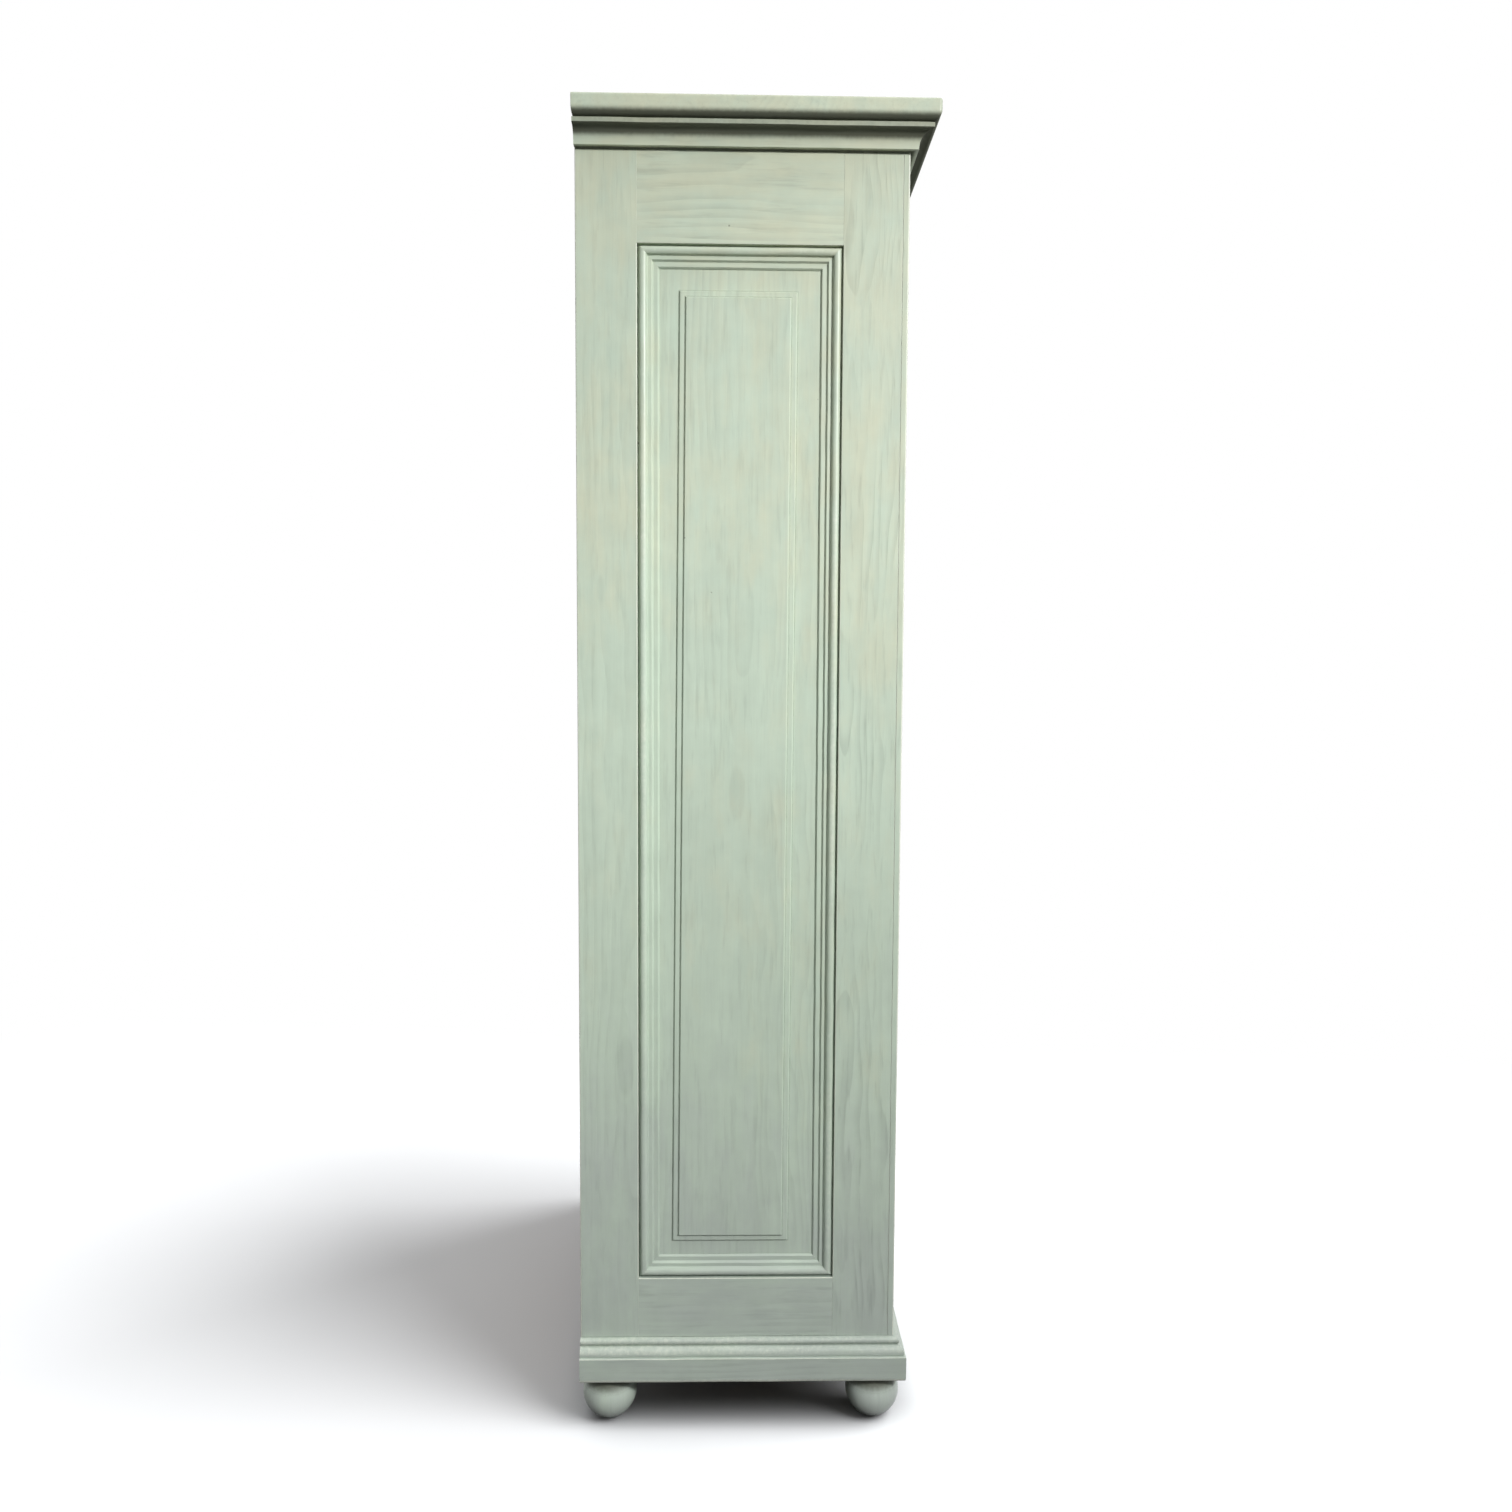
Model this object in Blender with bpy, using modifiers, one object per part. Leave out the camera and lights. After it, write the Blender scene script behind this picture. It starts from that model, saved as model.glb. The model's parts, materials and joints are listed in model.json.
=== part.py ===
"""A narrow one-door wardrobe of painted pine on turned ball feet, built as a joiner builds it.

A base box on four feet carries two framed and panelled sides, a face frame, a boarded back and a top
board with a cornice moulding. The door hangs on two lift-off hinges and closes with a rim lock and key.
Metres, +Z up, front towards -Y. The origin is on the floor, under the middle of the whole wardrobe.
"""

import math

import bmesh
import bpy
from mathutils import Matrix, Vector

# Overall sizes
TOTAL_HEIGHT = 1.957
BODY_WIDTH = 0.760
BODY_DEPTH = 0.480

# Fits
FIT = 0.0003  # gap left between pieces that touch
EASE = 0.0012  # worn arris along a board
STEP_DRAFT = 0.0005  # slope of every small riser

# Ball feet
FOOT_HEIGHT = 0.074
FOOT_RADIUS = 0.0415
FOOT_FLAT = 0.015  # radius of the flat that stands on the floor
FOOT_NECK = 0.026
DOWEL_RADIUS = 0.0125
DOWEL_COVER = 0.012  # wood left above a dowel
DOWEL_SIDE_WALL = 0.0052  # wood left between a dowel and the bearer's outer faces
DOWEL_FRONT_WALL = 0.0042
DOWEL_BACK_WALL = 0.0072

# Base box: the plinth's flat, fillet, ovolo and bead, from below
PLINTH_FLAT_HEIGHT = 0.038
PLINTH_FILLET_HEIGHT = 0.004
PLINTH_OVOLO_HEIGHT = 0.012
PLINTH_BEAD_HEIGHT = 0.010
PLINTH_BEAD_PROUD = 0.008
PLINTH_OVOLO_STEP = 0.0068  # how far the ovolo stands out past the bead
PLINTH_FILLET_STEP = 0.0032  # how far the flat stands out past the ovolo
PLINTH_INSIDE = 0.012  # how far the plinth board reaches in under the body
PLINTH_BACK_THICK = 0.022
BEARER_WIDTH = 0.070
FLOOR_THICK = 0.018
FLOOR_BOARDS = 3

# Cornice and top board: foot, cove, fillet and nosing, from below
CORNICE_FOOT_HEIGHT = 0.0055
CORNICE_FOOT_PROUD = 0.010
CORNICE_COVE_HEIGHT = 0.0195
CORNICE_COVE_REACH = 0.018
CORNICE_FILLET_HEIGHT = 0.011
CORNICE_FILLET_STEP = 0.0045  # how far the fillet stands out past the cove
TOP_THICK = 0.0275
TOP_NOSING_STEP = 0.006  # how far the nosing stands out past the fillet
TOP_UPPER_ROUND = 0.004
TOP_LOWER_ROUND = 0.009

# Moulding planted round a panel: quirk, bead and two treads, from the frame inwards
MOULDING_QUIRK = 0.0026
MOULDING_QUIRK_DEPTH = 0.0055
MOULDING_BEAD_RADIUS = 0.0051
MOULDING_BEAD_DROP = 0.0005  # top of the bead below the frame's face
MOULDING_FIRST_TREAD = 0.0056
MOULDING_FIRST_DROP = 0.0017
MOULDING_SECOND_TREAD = 0.0088
MOULDING_SECOND_DROP = 0.0032
MOULDING_LAST_DROP = 0.0036

# Floating panels in their grooves
PANEL_TONGUE = 0.010
PANEL_BACK_LIP = 0.006  # frame left behind the groove
PANEL_PLAY = 0.0085  # room to move in the grooves
GROOVE_DEPTH = 0.012
FIELD_SIDE_MARGIN = 0.032
FIELD_END_MARGIN = 0.026
FIELD_STEP = 0.0028
FIELD_STRIP = 0.0085

# Framed sides
SIDE_REAR_STILE = 0.091
SIDE_FRONT_STILE = 0.088
SIDE_TOP_RAIL = 0.1645
SIDE_BOTTOM_RAIL = 0.0965
TENON_LENGTH = 0.036
TENON_SHOULDER = 0.020

# Face frame and door
CORNER_LIP = 0.009  # lip of the face frame that covers the side's front edge
FACE_STILE = 0.095
FACE_TOP_RAIL = 0.1415
FACE_BOTTOM_RAIL = 0.065
DOOR_GAP = 0.0026
DOOR_STILE = 0.090
DOOR_TOP_RAIL = 0.095
DOOR_BOTTOM_RAIL = 0.125
STOP_THICK = 0.015
STOP_LAP = 0.012  # how far a stop reaches over the door
STOP_HOLD = 0.025  # how far a stop is fixed to its rail
STOP_END = 0.020  # stop's end from the face stile

# Boarded back
BACK_THICK = 0.015
BACK_REBATE = 0.012
BACK_BOARDS = 4
TONGUE_LENGTH = 0.006
TONGUE_THICK = 0.005

# Lift-off hinges
HINGE_RADIUS = 0.005
HINGE_CLEARANCE = 0.0006  # barrel in front of the wood
HINGE_HALF_LENGTH = 0.040
HINGE_PIN_RADIUS = 0.0026
HINGE_PIN_LENGTH = 0.032
HINGE_BORE_CLEARANCE = 0.0002
HINGE_BLADE_THICK = 0.002
HINGE_BLADE_DEPTH = 0.024
HINGE_BLADE_MARGIN = 0.003  # barrel beyond each end of its blade
HINGE_FINIAL = 0.009
HINGE_FINIAL_RADIUS = 0.004
HINGE_FROM_END = 0.180

# Rim lock, bolt and keeper
LOCK_HEIGHT_ON_DOOR = 0.800
LOCK_SETBACK = 0.004  # case behind the door's closing edge
LOCK_WIDTH = 0.062
LOCK_HEIGHT = 0.072
LOCK_DEPTH = 0.016
LOCK_WALL = 0.0016
BOLT_LENGTH = 0.058
BOLT_HEIGHT = 0.014
BOLT_THICK = 0.007
BOLT_ABOVE_KEY = 0.006
BOLT_THROW = 0.014  # travel in one turn of the key
KEEPER_THICK = 0.002
KEEPER_WIDTH = 0.022
KEEPER_FLANGE = 0.012
KEEPER_ROOM = 0.0012  # clearance round the bolt in its keeper

# Key and keyhole
KEY_FROM_EDGE = 0.038
KEY_SHANK = 0.003
KEY_COLLAR = 0.0046
KEY_SHANK_OUT = 0.012  # shank shown in front of the door
KEY_TIP_GAP = 0.0015  # between the key's tip and the back of the case
KEY_BOW_RADIUS = 0.0085
KEY_BOW_WIRE = 0.0022
KEY_BIT_BITE = 0.006  # how far the bit reaches into the bolt
KEY_BIT_WIDTH = 0.006
KEY_BIT_THICK = 0.0025
TALON_ROOM = 0.0015
KEYHOLE_RADIUS = 0.0040
KEYHOLE_SLOT = 0.0040
KEYHOLE_DROP = 0.015
RIM_WALL = 0.0014
RIM_DEPTH = 0.008
RIM_PROUD = 0.0008

# Inside fittings
HAT_SPACE = 0.2815  # between the shelf and the top board
SHELF_THICK = 0.018
CLEAT = 0.025
CLEAT_FROM_BACK = 0.030
CLEAT_FROM_FRONT = 0.020  # behind the face frame
RAIL_RADIUS = 0.014
RAIL_BELOW_SHELF = 0.100  # rail axis under the shelf
SUPPORT_THICK = 0.018
SUPPORT_BELOW_RAIL = 0.026  # wood under the rail's socket
SUPPORT_ABOVE_RAIL = 0.006  # wood above the top of the rail

# Smoothness of round work
FOOT_SIDES = 32
BARREL_SIDES = 16
ARC_STEPS = 6

# Places that follow from the sizes
MOULDING_WIDTH = (
    MOULDING_QUIRK + 2 * MOULDING_BEAD_RADIUS + MOULDING_FIRST_TREAD + MOULDING_SECOND_TREAD + 3 * STEP_DRAFT
)
MOULDING_FIRST_DEPTH = MOULDING_QUIRK_DEPTH + MOULDING_FIRST_DROP
MOULDING_SECOND_DEPTH = MOULDING_FIRST_DEPTH + MOULDING_SECOND_DROP
PANEL_RECESS = MOULDING_SECOND_DEPTH + MOULDING_LAST_DROP  # panel margin behind the frame's face
STOCK = PANEL_RECESS + PANEL_TONGUE + PANEL_BACK_LIP  # thickness of every stile and rail
PLINTH_HEIGHT = PLINTH_FLAT_HEIGHT + PLINTH_FILLET_HEIGHT + PLINTH_OVOLO_HEIGHT + PLINTH_BEAD_HEIGHT
PLINTH_OVOLO_PROUD = PLINTH_BEAD_PROUD + PLINTH_OVOLO_STEP
PLINTH_PROUD = PLINTH_OVOLO_PROUD + PLINTH_FILLET_STEP
CORNICE_HEIGHT = CORNICE_FOOT_HEIGHT + CORNICE_COVE_HEIGHT + CORNICE_FILLET_HEIGHT
CORNICE_COVE_PROUD = CORNICE_FOOT_PROUD + CORNICE_COVE_REACH
CORNICE_PROUD = CORNICE_COVE_PROUD + CORNICE_FILLET_STEP
TOP_OVERHANG = CORNICE_PROUD + TOP_NOSING_STEP
HALF_WIDTH = BODY_WIDTH / 2
BACK_Y = (BODY_DEPTH + TOP_OVERHANG) / 2
FRONT_Y = BACK_Y - BODY_DEPTH
FRAME_BACK_Y = FRONT_Y + STOCK
INNER_X = HALF_WIDTH - STOCK
BASE_TOP = FOOT_HEIGHT + PLINTH_HEIGHT
BODY_TOP = TOTAL_HEIGHT - TOP_THICK
BODY_HEIGHT = BODY_TOP - BASE_TOP
PLINTH_INNER_X = HALF_WIDTH - PLINTH_INSIDE
PLINTH_INNER_FRONT = FRONT_Y + PLINTH_INSIDE
PLINTH_INNER_BACK = BACK_Y - PLINTH_BACK_THICK
FLOOR_UNDER = BASE_TOP - FLOOR_THICK
FOOT_X = PLINTH_INNER_X - DOWEL_SIDE_WALL - DOWEL_RADIUS
FOOT_FRONT_Y = PLINTH_INNER_FRONT + DOWEL_FRONT_WALL + DOWEL_RADIUS
FOOT_REAR_Y = PLINTH_INNER_BACK - DOWEL_BACK_WALL - DOWEL_RADIUS
DOWEL_TOP = FLOOR_UNDER - DOWEL_COVER
DOOR_LEFT = -HALF_WIDTH + FACE_STILE + DOOR_GAP
DOOR_RIGHT = HALF_WIDTH - FACE_STILE - DOOR_GAP
DOOR_LOW = BASE_TOP + FACE_BOTTOM_RAIL + DOOR_GAP
DOOR_HIGH = BODY_TOP - FACE_TOP_RAIL - DOOR_GAP
HINGE_PROUD = HINGE_RADIUS + HINGE_CLEARANCE  # pin axis in front of the door's face
PIN_X = DOOR_LEFT - DOOR_GAP / 2
PIN_Y = FRONT_Y - HINGE_PROUD
KEY_X = DOOR_RIGHT - KEY_FROM_EDGE
KEY_Z = DOOR_LOW + LOCK_HEIGHT_ON_DOOR
KEY_BIT_REACH = BOLT_ABOVE_KEY + KEY_BIT_BITE
SHELF_TOP = BODY_TOP - HAT_SPACE
RAIL_Z = SHELF_TOP - SHELF_THICK - RAIL_BELOW_SHELF

QUARTER = math.pi / 2


# Scene, collections and finishes


def clear_scene():
    for obj in list(bpy.data.objects):
        bpy.data.objects.remove(obj, do_unlink=True)


def new_collection(name):
    collection = bpy.data.collections.new(name)
    bpy.context.scene.collection.children.link(collection)
    return collection


def finish(name, colour, roughness, metallic=0.0):
    material = bpy.data.materials.new(name)
    material.use_nodes = True
    shader = material.node_tree.nodes["Principled BSDF"]
    shader.inputs["Base Color"].default_value = (*colour, 1.0)
    shader.inputs["Roughness"].default_value = roughness
    shader.inputs["Metallic"].default_value = metallic
    material.diffuse_color = (*colour, 1.0)
    return material


clear_scene()
WARDROBE = new_collection("narrow_wardrobe")
CUTTERS = new_collection("cutters")
PAINT = finish("sage_paint", (0.50, 0.56, 0.44), 0.55)
PINE = finish("bare_pine", (0.60, 0.40, 0.20), 0.65)
BRASS = finish("old_brass", (0.60, 0.43, 0.17), 0.35, 1.0)
IRON = finish("dark_iron", (0.12, 0.11, 0.10), 0.50, 1.0)


# Modelling helpers


def place(name, bm, material, location=(0, 0, 0), parent=None, collection=None):
    """Turns a bmesh into a named object of the wardrobe."""
    mesh = bpy.data.meshes.new(name)
    bm.to_mesh(mesh)
    bm.free()
    if material:
        mesh.materials.append(material)
    obj = bpy.data.objects.new(name, mesh)
    obj.location = location
    obj.parent = parent
    (collection or WARDROBE).objects.link(obj)
    return obj


def axis_empty(name, location, turn=0.0, parent=None):
    """An empty that carries the pieces of one frame or moving body."""
    empty = bpy.data.objects.new(name, None)
    empty.location = location
    empty.rotation_euler = (0, 0, turn)
    empty.parent = parent
    WARDROBE.objects.link(empty)
    return empty


def box_mesh(size):
    bm = bmesh.new()
    bmesh.ops.create_cube(bm, size=1.0)
    bmesh.ops.scale(bm, vec=size, verts=bm.verts)
    return bm


def board(name, low, high, material, parent=None, ease=EASE):
    """A board between two corners, with its long arrises eased."""
    low, high = Vector(low), Vector(high)
    size = high - low
    bm = box_mesh(size)
    grain = max(range(3), key=lambda axis: size[axis])
    long_edges = [
        edge for edge in bm.edges if abs((edge.verts[0].co - edge.verts[1].co)[grain]) > size[grain] / 2
    ]
    if ease:
        bmesh.ops.bevel(bm, geom=long_edges, offset=ease, segments=1, profile=0.5, affect="EDGES")
    return place(name, bm, material, (low + high) / 2, parent)


def boolean(obj, helper, operation):
    """Cuts a helper out of a piece or joins it on, and keeps the helper out of the picture."""
    helper.display_type = "WIRE"
    helper.hide_render = True
    modifier = obj.modifiers.new(operation.lower(), "BOOLEAN")
    modifier.operation = operation
    modifier.object = helper
    modifier.solver = "EXACT"


def box_boolean(obj, low, high, operation):
    low, high = Vector(low), Vector(high)
    name = f"{operation.lower()}_{obj.name}"
    helper = place(name, box_mesh(high - low), None, (low + high) / 2, obj.parent, CUTTERS)
    boolean(obj, helper, operation)


def cut_box(obj, low, high):
    """Cuts a box, given by its corners in the piece's own frame, out of a piece."""
    box_boolean(obj, low, high, "DIFFERENCE")


def add_box(obj, low, high):
    """Joins a box, given by its corners in the piece's own frame, to a piece."""
    box_boolean(obj, low, high, "UNION")


def cylinder_mesh(radius, length, sides):
    """A cylinder along +Z, centred on its origin."""
    bm = bmesh.new()
    bmesh.ops.create_cone(
        bm, cap_ends=True, segments=sides, radius1=radius, radius2=radius, depth=length
    )
    return bm


def cut_cylinder(obj, radius, length, location, rotation=(0, 0, 0)):
    mesh = cylinder_mesh(radius, length, FOOT_SIDES)
    cutter = place(f"bore_{obj.name}", mesh, None, location, obj.parent, CUTTERS)
    cutter.rotation_euler = rotation
    boolean(obj, cutter, "DIFFERENCE")


def ellipse_arc(centre, radii, start, end, steps=ARC_STEPS):
    """Points of an elliptical arc, both ends included. Angles in radians."""
    angles = [start + (end - start) * i / steps for i in range(steps + 1)]
    return [(centre[0] + radii[0] * math.cos(a), centre[1] + radii[1] * math.sin(a)) for a in angles]


def arc(centre, radius, start, end, steps=ARC_STEPS):
    """Points of a circular arc, both ends included. Angles in radians."""
    return ellipse_arc(centre, (radius, radius), start, end, steps)


def extruded_mesh(outline, start, end):
    """A closed outline of (y, z) points carried along X from start to end."""
    bm = bmesh.new()
    face = bm.faces.new([bm.verts.new((start, y, z)) for y, z in outline])
    grown = bmesh.ops.extrude_face_region(bm, geom=[face])
    moved = [item for item in grown["geom"] if isinstance(item, bmesh.types.BMVert)]
    bmesh.ops.translate(bm, vec=(end - start, 0, 0), verts=moved)
    bmesh.ops.recalc_face_normals(bm, faces=bm.faces)
    return bm


def turn_mesh(bm, axis):
    """Turns a mesh a quarter turn about one of its axes."""
    bmesh.ops.rotate(bm, cent=(0, 0, 0), matrix=Matrix.Rotation(QUARTER, 3, axis), verts=bm.verts)
    return bm


def slice_off(bm, point, normal):
    """Cuts away what lies beyond a plane and closes the cut."""
    geometry = bm.verts[:] + bm.edges[:] + bm.faces[:]
    result = bmesh.ops.bisect_plane(
        bm, geom=geometry, plane_co=point, plane_no=normal, clear_outer=True, dist=1e-7
    )
    rim = [item for item in result["geom_cut"] if isinstance(item, bmesh.types.BMEdge)]
    bmesh.ops.holes_fill(bm, edges=rim, sides=len(rim))
    bmesh.ops.recalc_face_normals(bm, faces=bm.faces)


def mitred_run(name, profile, length, mitres, location, turn):
    """A moulding along X whose profile of (proud, height) points stands out towards -Y.

    Its corners with the next runs lie at x = 0 and x = length. A mitred end is cut at 45 degrees through
    the corner, and any other end is cut square at it.
    """
    reach = max(proud for proud, height in profile)
    start = -2 * reach if mitres[0] else 0.0
    end = length + (2 * reach if mitres[1] else 0.0)
    bm = extruded_mesh([(-proud, height) for proud, height in profile], start, end)
    if mitres[0]:
        slice_off(bm, (FIT, 0, 0), (-1, 1, 0))
    if mitres[1]:
        slice_off(bm, (length - FIT, 0, 0), (1, 1, 0))
    obj = place(name, bm, PAINT, location)
    obj.rotation_euler = (0, 0, turn)


def run_three_sides(prefix, profile):
    """Front, left and right runs of a moulding, mitred at the two front corners of the body."""
    corner_left = (-HALF_WIDTH, FRONT_Y, 0)
    corner_right = (HALF_WIDTH, FRONT_Y, 0)
    back_left = (-HALF_WIDTH, BACK_Y, 0)
    mitred_run(f"{prefix}_front", profile, BODY_WIDTH, (True, True), corner_left, 0.0)
    mitred_run(f"{prefix}_left", profile, BODY_DEPTH, (False, True), back_left, -QUARTER)
    mitred_run(f"{prefix}_right", profile, BODY_DEPTH, (True, False), corner_right, QUARTER)


def turned(name, profile, sides, material, location, parent=None):
    """A turned piece: (radius, height) points from the top of its axis down to the bottom, spun about Z."""
    bm = bmesh.new()
    verts = [bm.verts.new((radius, 0, height)) for radius, height in profile]
    for upper, lower in zip(verts, verts[1:]):
        bm.edges.new((upper, lower))
    obj = place(name, bm, material, location, parent)
    spin = obj.modifiers.new("spin", "SCREW")
    spin.angle = 2 * math.pi
    spin.steps = spin.render_steps = sides
    spin.use_merge_vertices = True
    spin.merge_threshold = 0.00001
    return obj


def inset_chain(bm, face, steps):
    """Insets a face again and again by (inwards, outwards) steps, so that its border becomes a moulding."""
    for inwards, outwards in steps:
        bmesh.ops.inset_region(
            bm, faces=[face], thickness=inwards, depth=outwards, use_even_offset=True, use_boundary=True
        )


# Base box and feet


def plinth_profile():
    """Section of the plinth as (proud, height) points: a flat, a fillet, an ovolo and a bead on top."""
    top = BASE_TOP - FIT
    bead = PLINTH_BEAD_HEIGHT / 2
    ovolo_top = BASE_TOP - PLINTH_BEAD_HEIGHT
    ovolo_low = ovolo_top - PLINTH_OVOLO_HEIGHT
    fillet_low = ovolo_low - PLINTH_FILLET_HEIGHT
    neck = PLINTH_BEAD_PROUD - bead / 2
    return [
        (-PLINTH_INSIDE, top),
        (-PLINTH_INSIDE, FOOT_HEIGHT),
        (PLINTH_PROUD - EASE, FOOT_HEIGHT),
        (PLINTH_PROUD, FOOT_HEIGHT + EASE),
        (PLINTH_PROUD, fillet_low),
        (PLINTH_PROUD - EASE, fillet_low + EASE),
        (PLINTH_OVOLO_PROUD, ovolo_low - EASE),
        *ellipse_arc((neck, ovolo_low), (PLINTH_OVOLO_PROUD - neck, PLINTH_OVOLO_HEIGHT - EASE), 0, QUARTER),
        *arc((PLINTH_BEAD_PROUD - bead, top - bead), bead, -QUARTER / 2, QUARTER),
    ]


def foot_profile():
    """A ball foot with a short neck under the base and a dowel above it."""
    shoulder = FOOT_HEIGHT - FIT
    start = math.acos(FOOT_NECK / FOOT_RADIUS)
    low = math.acos(FOOT_FLAT / FOOT_RADIUS)
    middle = FOOT_RADIUS * math.sin(low)
    return [
        (0, DOWEL_TOP - FIT),
        (DOWEL_RADIUS - EASE, DOWEL_TOP - FIT),
        (DOWEL_RADIUS, DOWEL_TOP - FIT - EASE),
        (DOWEL_RADIUS, shoulder),
        (FOOT_NECK, shoulder),
        *arc((0, middle), FOOT_RADIUS, start, -low, 2 * ARC_STEPS),
        (0, 0),
    ]


def build_base():
    run_three_sides("plinth", plinth_profile())
    board(
        "plinth_back",
        (-PLINTH_INNER_X + FIT, PLINTH_INNER_BACK, FOOT_HEIGHT),
        (PLINTH_INNER_X - FIT, BACK_Y, BASE_TOP - FIT),
        PINE,
    )
    for side, sign in (("left", -1), ("right", 1)):
        build_bearer_and_feet(side, sign)
    pitch = (PLINTH_INNER_BACK - PLINTH_INNER_FRONT) / FLOOR_BOARDS
    for index in range(FLOOR_BOARDS):
        front = PLINTH_INNER_FRONT + index * pitch
        board(
            f"floor_board_{index + 1}",
            (-PLINTH_INNER_X + FIT, front + FIT, FLOOR_UNDER),
            (PLINTH_INNER_X - FIT, front + pitch - FIT, BASE_TOP - FIT),
            PINE,
        )


def build_bearer_and_feet(side, sign):
    """The bearer under the floor boards' ends on one side, and the two feet dowelled into it."""
    ends = sorted((sign * (PLINTH_INNER_X - FIT), sign * (PLINTH_INNER_X - BEARER_WIDTH)))
    bearer = board(
        f"base_bearer_{side}",
        (ends[0], PLINTH_INNER_FRONT + FIT, FOOT_HEIGHT),
        (ends[1], PLINTH_INNER_BACK - FIT, FLOOR_UNDER - FIT),
        PINE,
    )
    hole_length = 2 * (DOWEL_TOP - FOOT_HEIGHT)
    for end, y in (("front", FOOT_FRONT_Y), ("rear", FOOT_REAR_Y)):
        x = sign * FOOT_X
        turned(f"foot_{end}_{side}", foot_profile(), FOOT_SIDES, PAINT, (x, y, 0))
        cut_cylinder(bearer, DOWEL_RADIUS + FIT, hole_length, (x, y, FOOT_HEIGHT))


# Top board and cornice


def cornice_profile():
    """Section of the cornice as (proud, height) points: a fillet over a cove over a narrow foot."""
    top = BODY_TOP - FIT
    low = BODY_TOP - CORNICE_HEIGHT
    cove_low = low + CORNICE_FOOT_HEIGHT
    cove_top = cove_low + CORNICE_COVE_HEIGHT
    cove = ellipse_arc(
        (CORNICE_COVE_PROUD, cove_low),
        (CORNICE_COVE_REACH, CORNICE_COVE_HEIGHT),
        math.pi,
        QUARTER,
        2 * ARC_STEPS,
    )
    return [
        (FIT, top),
        (FIT, low),
        (CORNICE_FOOT_PROUD, low),
        *cove,
        (CORNICE_PROUD - EASE, cove_top),
        (CORNICE_PROUD, cove_top + EASE),
        (CORNICE_PROUD, top),
    ]


def is_nosing_edge(edge, level, back):
    """True for the front and side edges of the top board at one level: all but the one along the back."""
    first, second = (vert.co for vert in edge.verts)
    on_level = abs(first.z - level) < FIT and abs(second.z - level) < FIT
    along_back = abs(first.y - back) < FIT and abs(second.y - back) < FIT
    return on_level and not along_back


def build_top():
    low = Vector((-HALF_WIDTH - TOP_OVERHANG, FRONT_Y - TOP_OVERHANG, BODY_TOP))
    high = Vector((HALF_WIDTH + TOP_OVERHANG, BACK_Y, TOTAL_HEIGHT))
    half = (high - low) / 2
    bm = box_mesh(high - low)
    for level, radius in ((half.z, TOP_UPPER_ROUND), (-half.z, TOP_LOWER_ROUND)):
        edges = [edge for edge in bm.edges if is_nosing_edge(edge, level, half.y)]
        bmesh.ops.bevel(
            bm, geom=edges, offset=radius, segments=ARC_STEPS // 2, profile=0.5, affect="EDGES"
        )
    place("top_board", bm, PAINT, (low + high) / 2)
    run_three_sides("cornice", cornice_profile())


# Framed panels: two stiles, two tenoned rails, a floating panel and its moulding


def framed_panel(prefix, parent, corner, size, members, names, lean):
    """Builds one framed panel in its parent's frame, with its face at the corner's y and its back towards +Y.

    corner is the lower left corner of the face, size is (width, height), members and names are those of
    the left stile, right stile, top rail and bottom rail, and lean says which way the panel has slipped.
    """
    x0, y0, z0 = corner
    left, right, top, bottom = members
    high = z0 + size[1]
    opening = (x0 + left, x0 + size[0] - right, z0 + bottom, high - top)
    groove_front = y0 + PANEL_RECESS
    groove_back = groove_front + PANEL_TONGUE
    back = y0 + STOCK
    stiles = (
        board(f"{prefix}_{names[0]}", (x0, y0, z0), (opening[0], back, high), PAINT, parent),
        board(f"{prefix}_{names[1]}", (opening[1], y0, z0), (x0 + size[0], back, high), PAINT, parent),
    )
    rails = ((names[2], opening[3], high, opening[3]), (names[3], z0, opening[2], opening[2]))
    for name, rail_low, rail_high, edge in rails:
        rail = board(
            f"{prefix}_{name}",
            (opening[0] + FIT, y0, rail_low),
            (opening[1] - FIT, back, rail_high),
            PAINT,
            parent,
        )
        tenon = (rail_low + TENON_SHOULDER, rail_high - TENON_SHOULDER)
        add_box(
            rail,
            (opening[0] - TENON_LENGTH, groove_front + FIT, tenon[0]),
            (opening[1] + TENON_LENGTH, groove_back - FIT, tenon[1]),
        )
        cut_box(
            rail,
            (opening[0] - FIT, groove_front - FIT, edge - GROOVE_DEPTH),
            (opening[1] + FIT, groove_back + FIT, edge + GROOVE_DEPTH),
        )
        for stile, side, outwards in ((stiles[0], opening[0], -1), (stiles[1], opening[1], 1)):
            ends = sorted((side - outwards * GROOVE_DEPTH, side + outwards * (TENON_LENGTH + FIT)))
            cut_box(
                stile,
                (ends[0], groove_front, tenon[0] - FIT),
                (ends[1], groove_back, tenon[1] + FIT),
            )
    for stile, side in zip(stiles, opening):
        cut_box(
            stile,
            (side - GROOVE_DEPTH, groove_front - FIT, opening[2] - GROOVE_DEPTH),
            (side + GROOVE_DEPTH, groove_back + FIT, opening[3] + GROOVE_DEPTH),
        )
    fielded_panel(f"{prefix}_panel", parent, opening, groove_front, lean)
    panel_moulding(f"{prefix}_moulding", parent, opening, y0)
    return stiles


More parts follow.
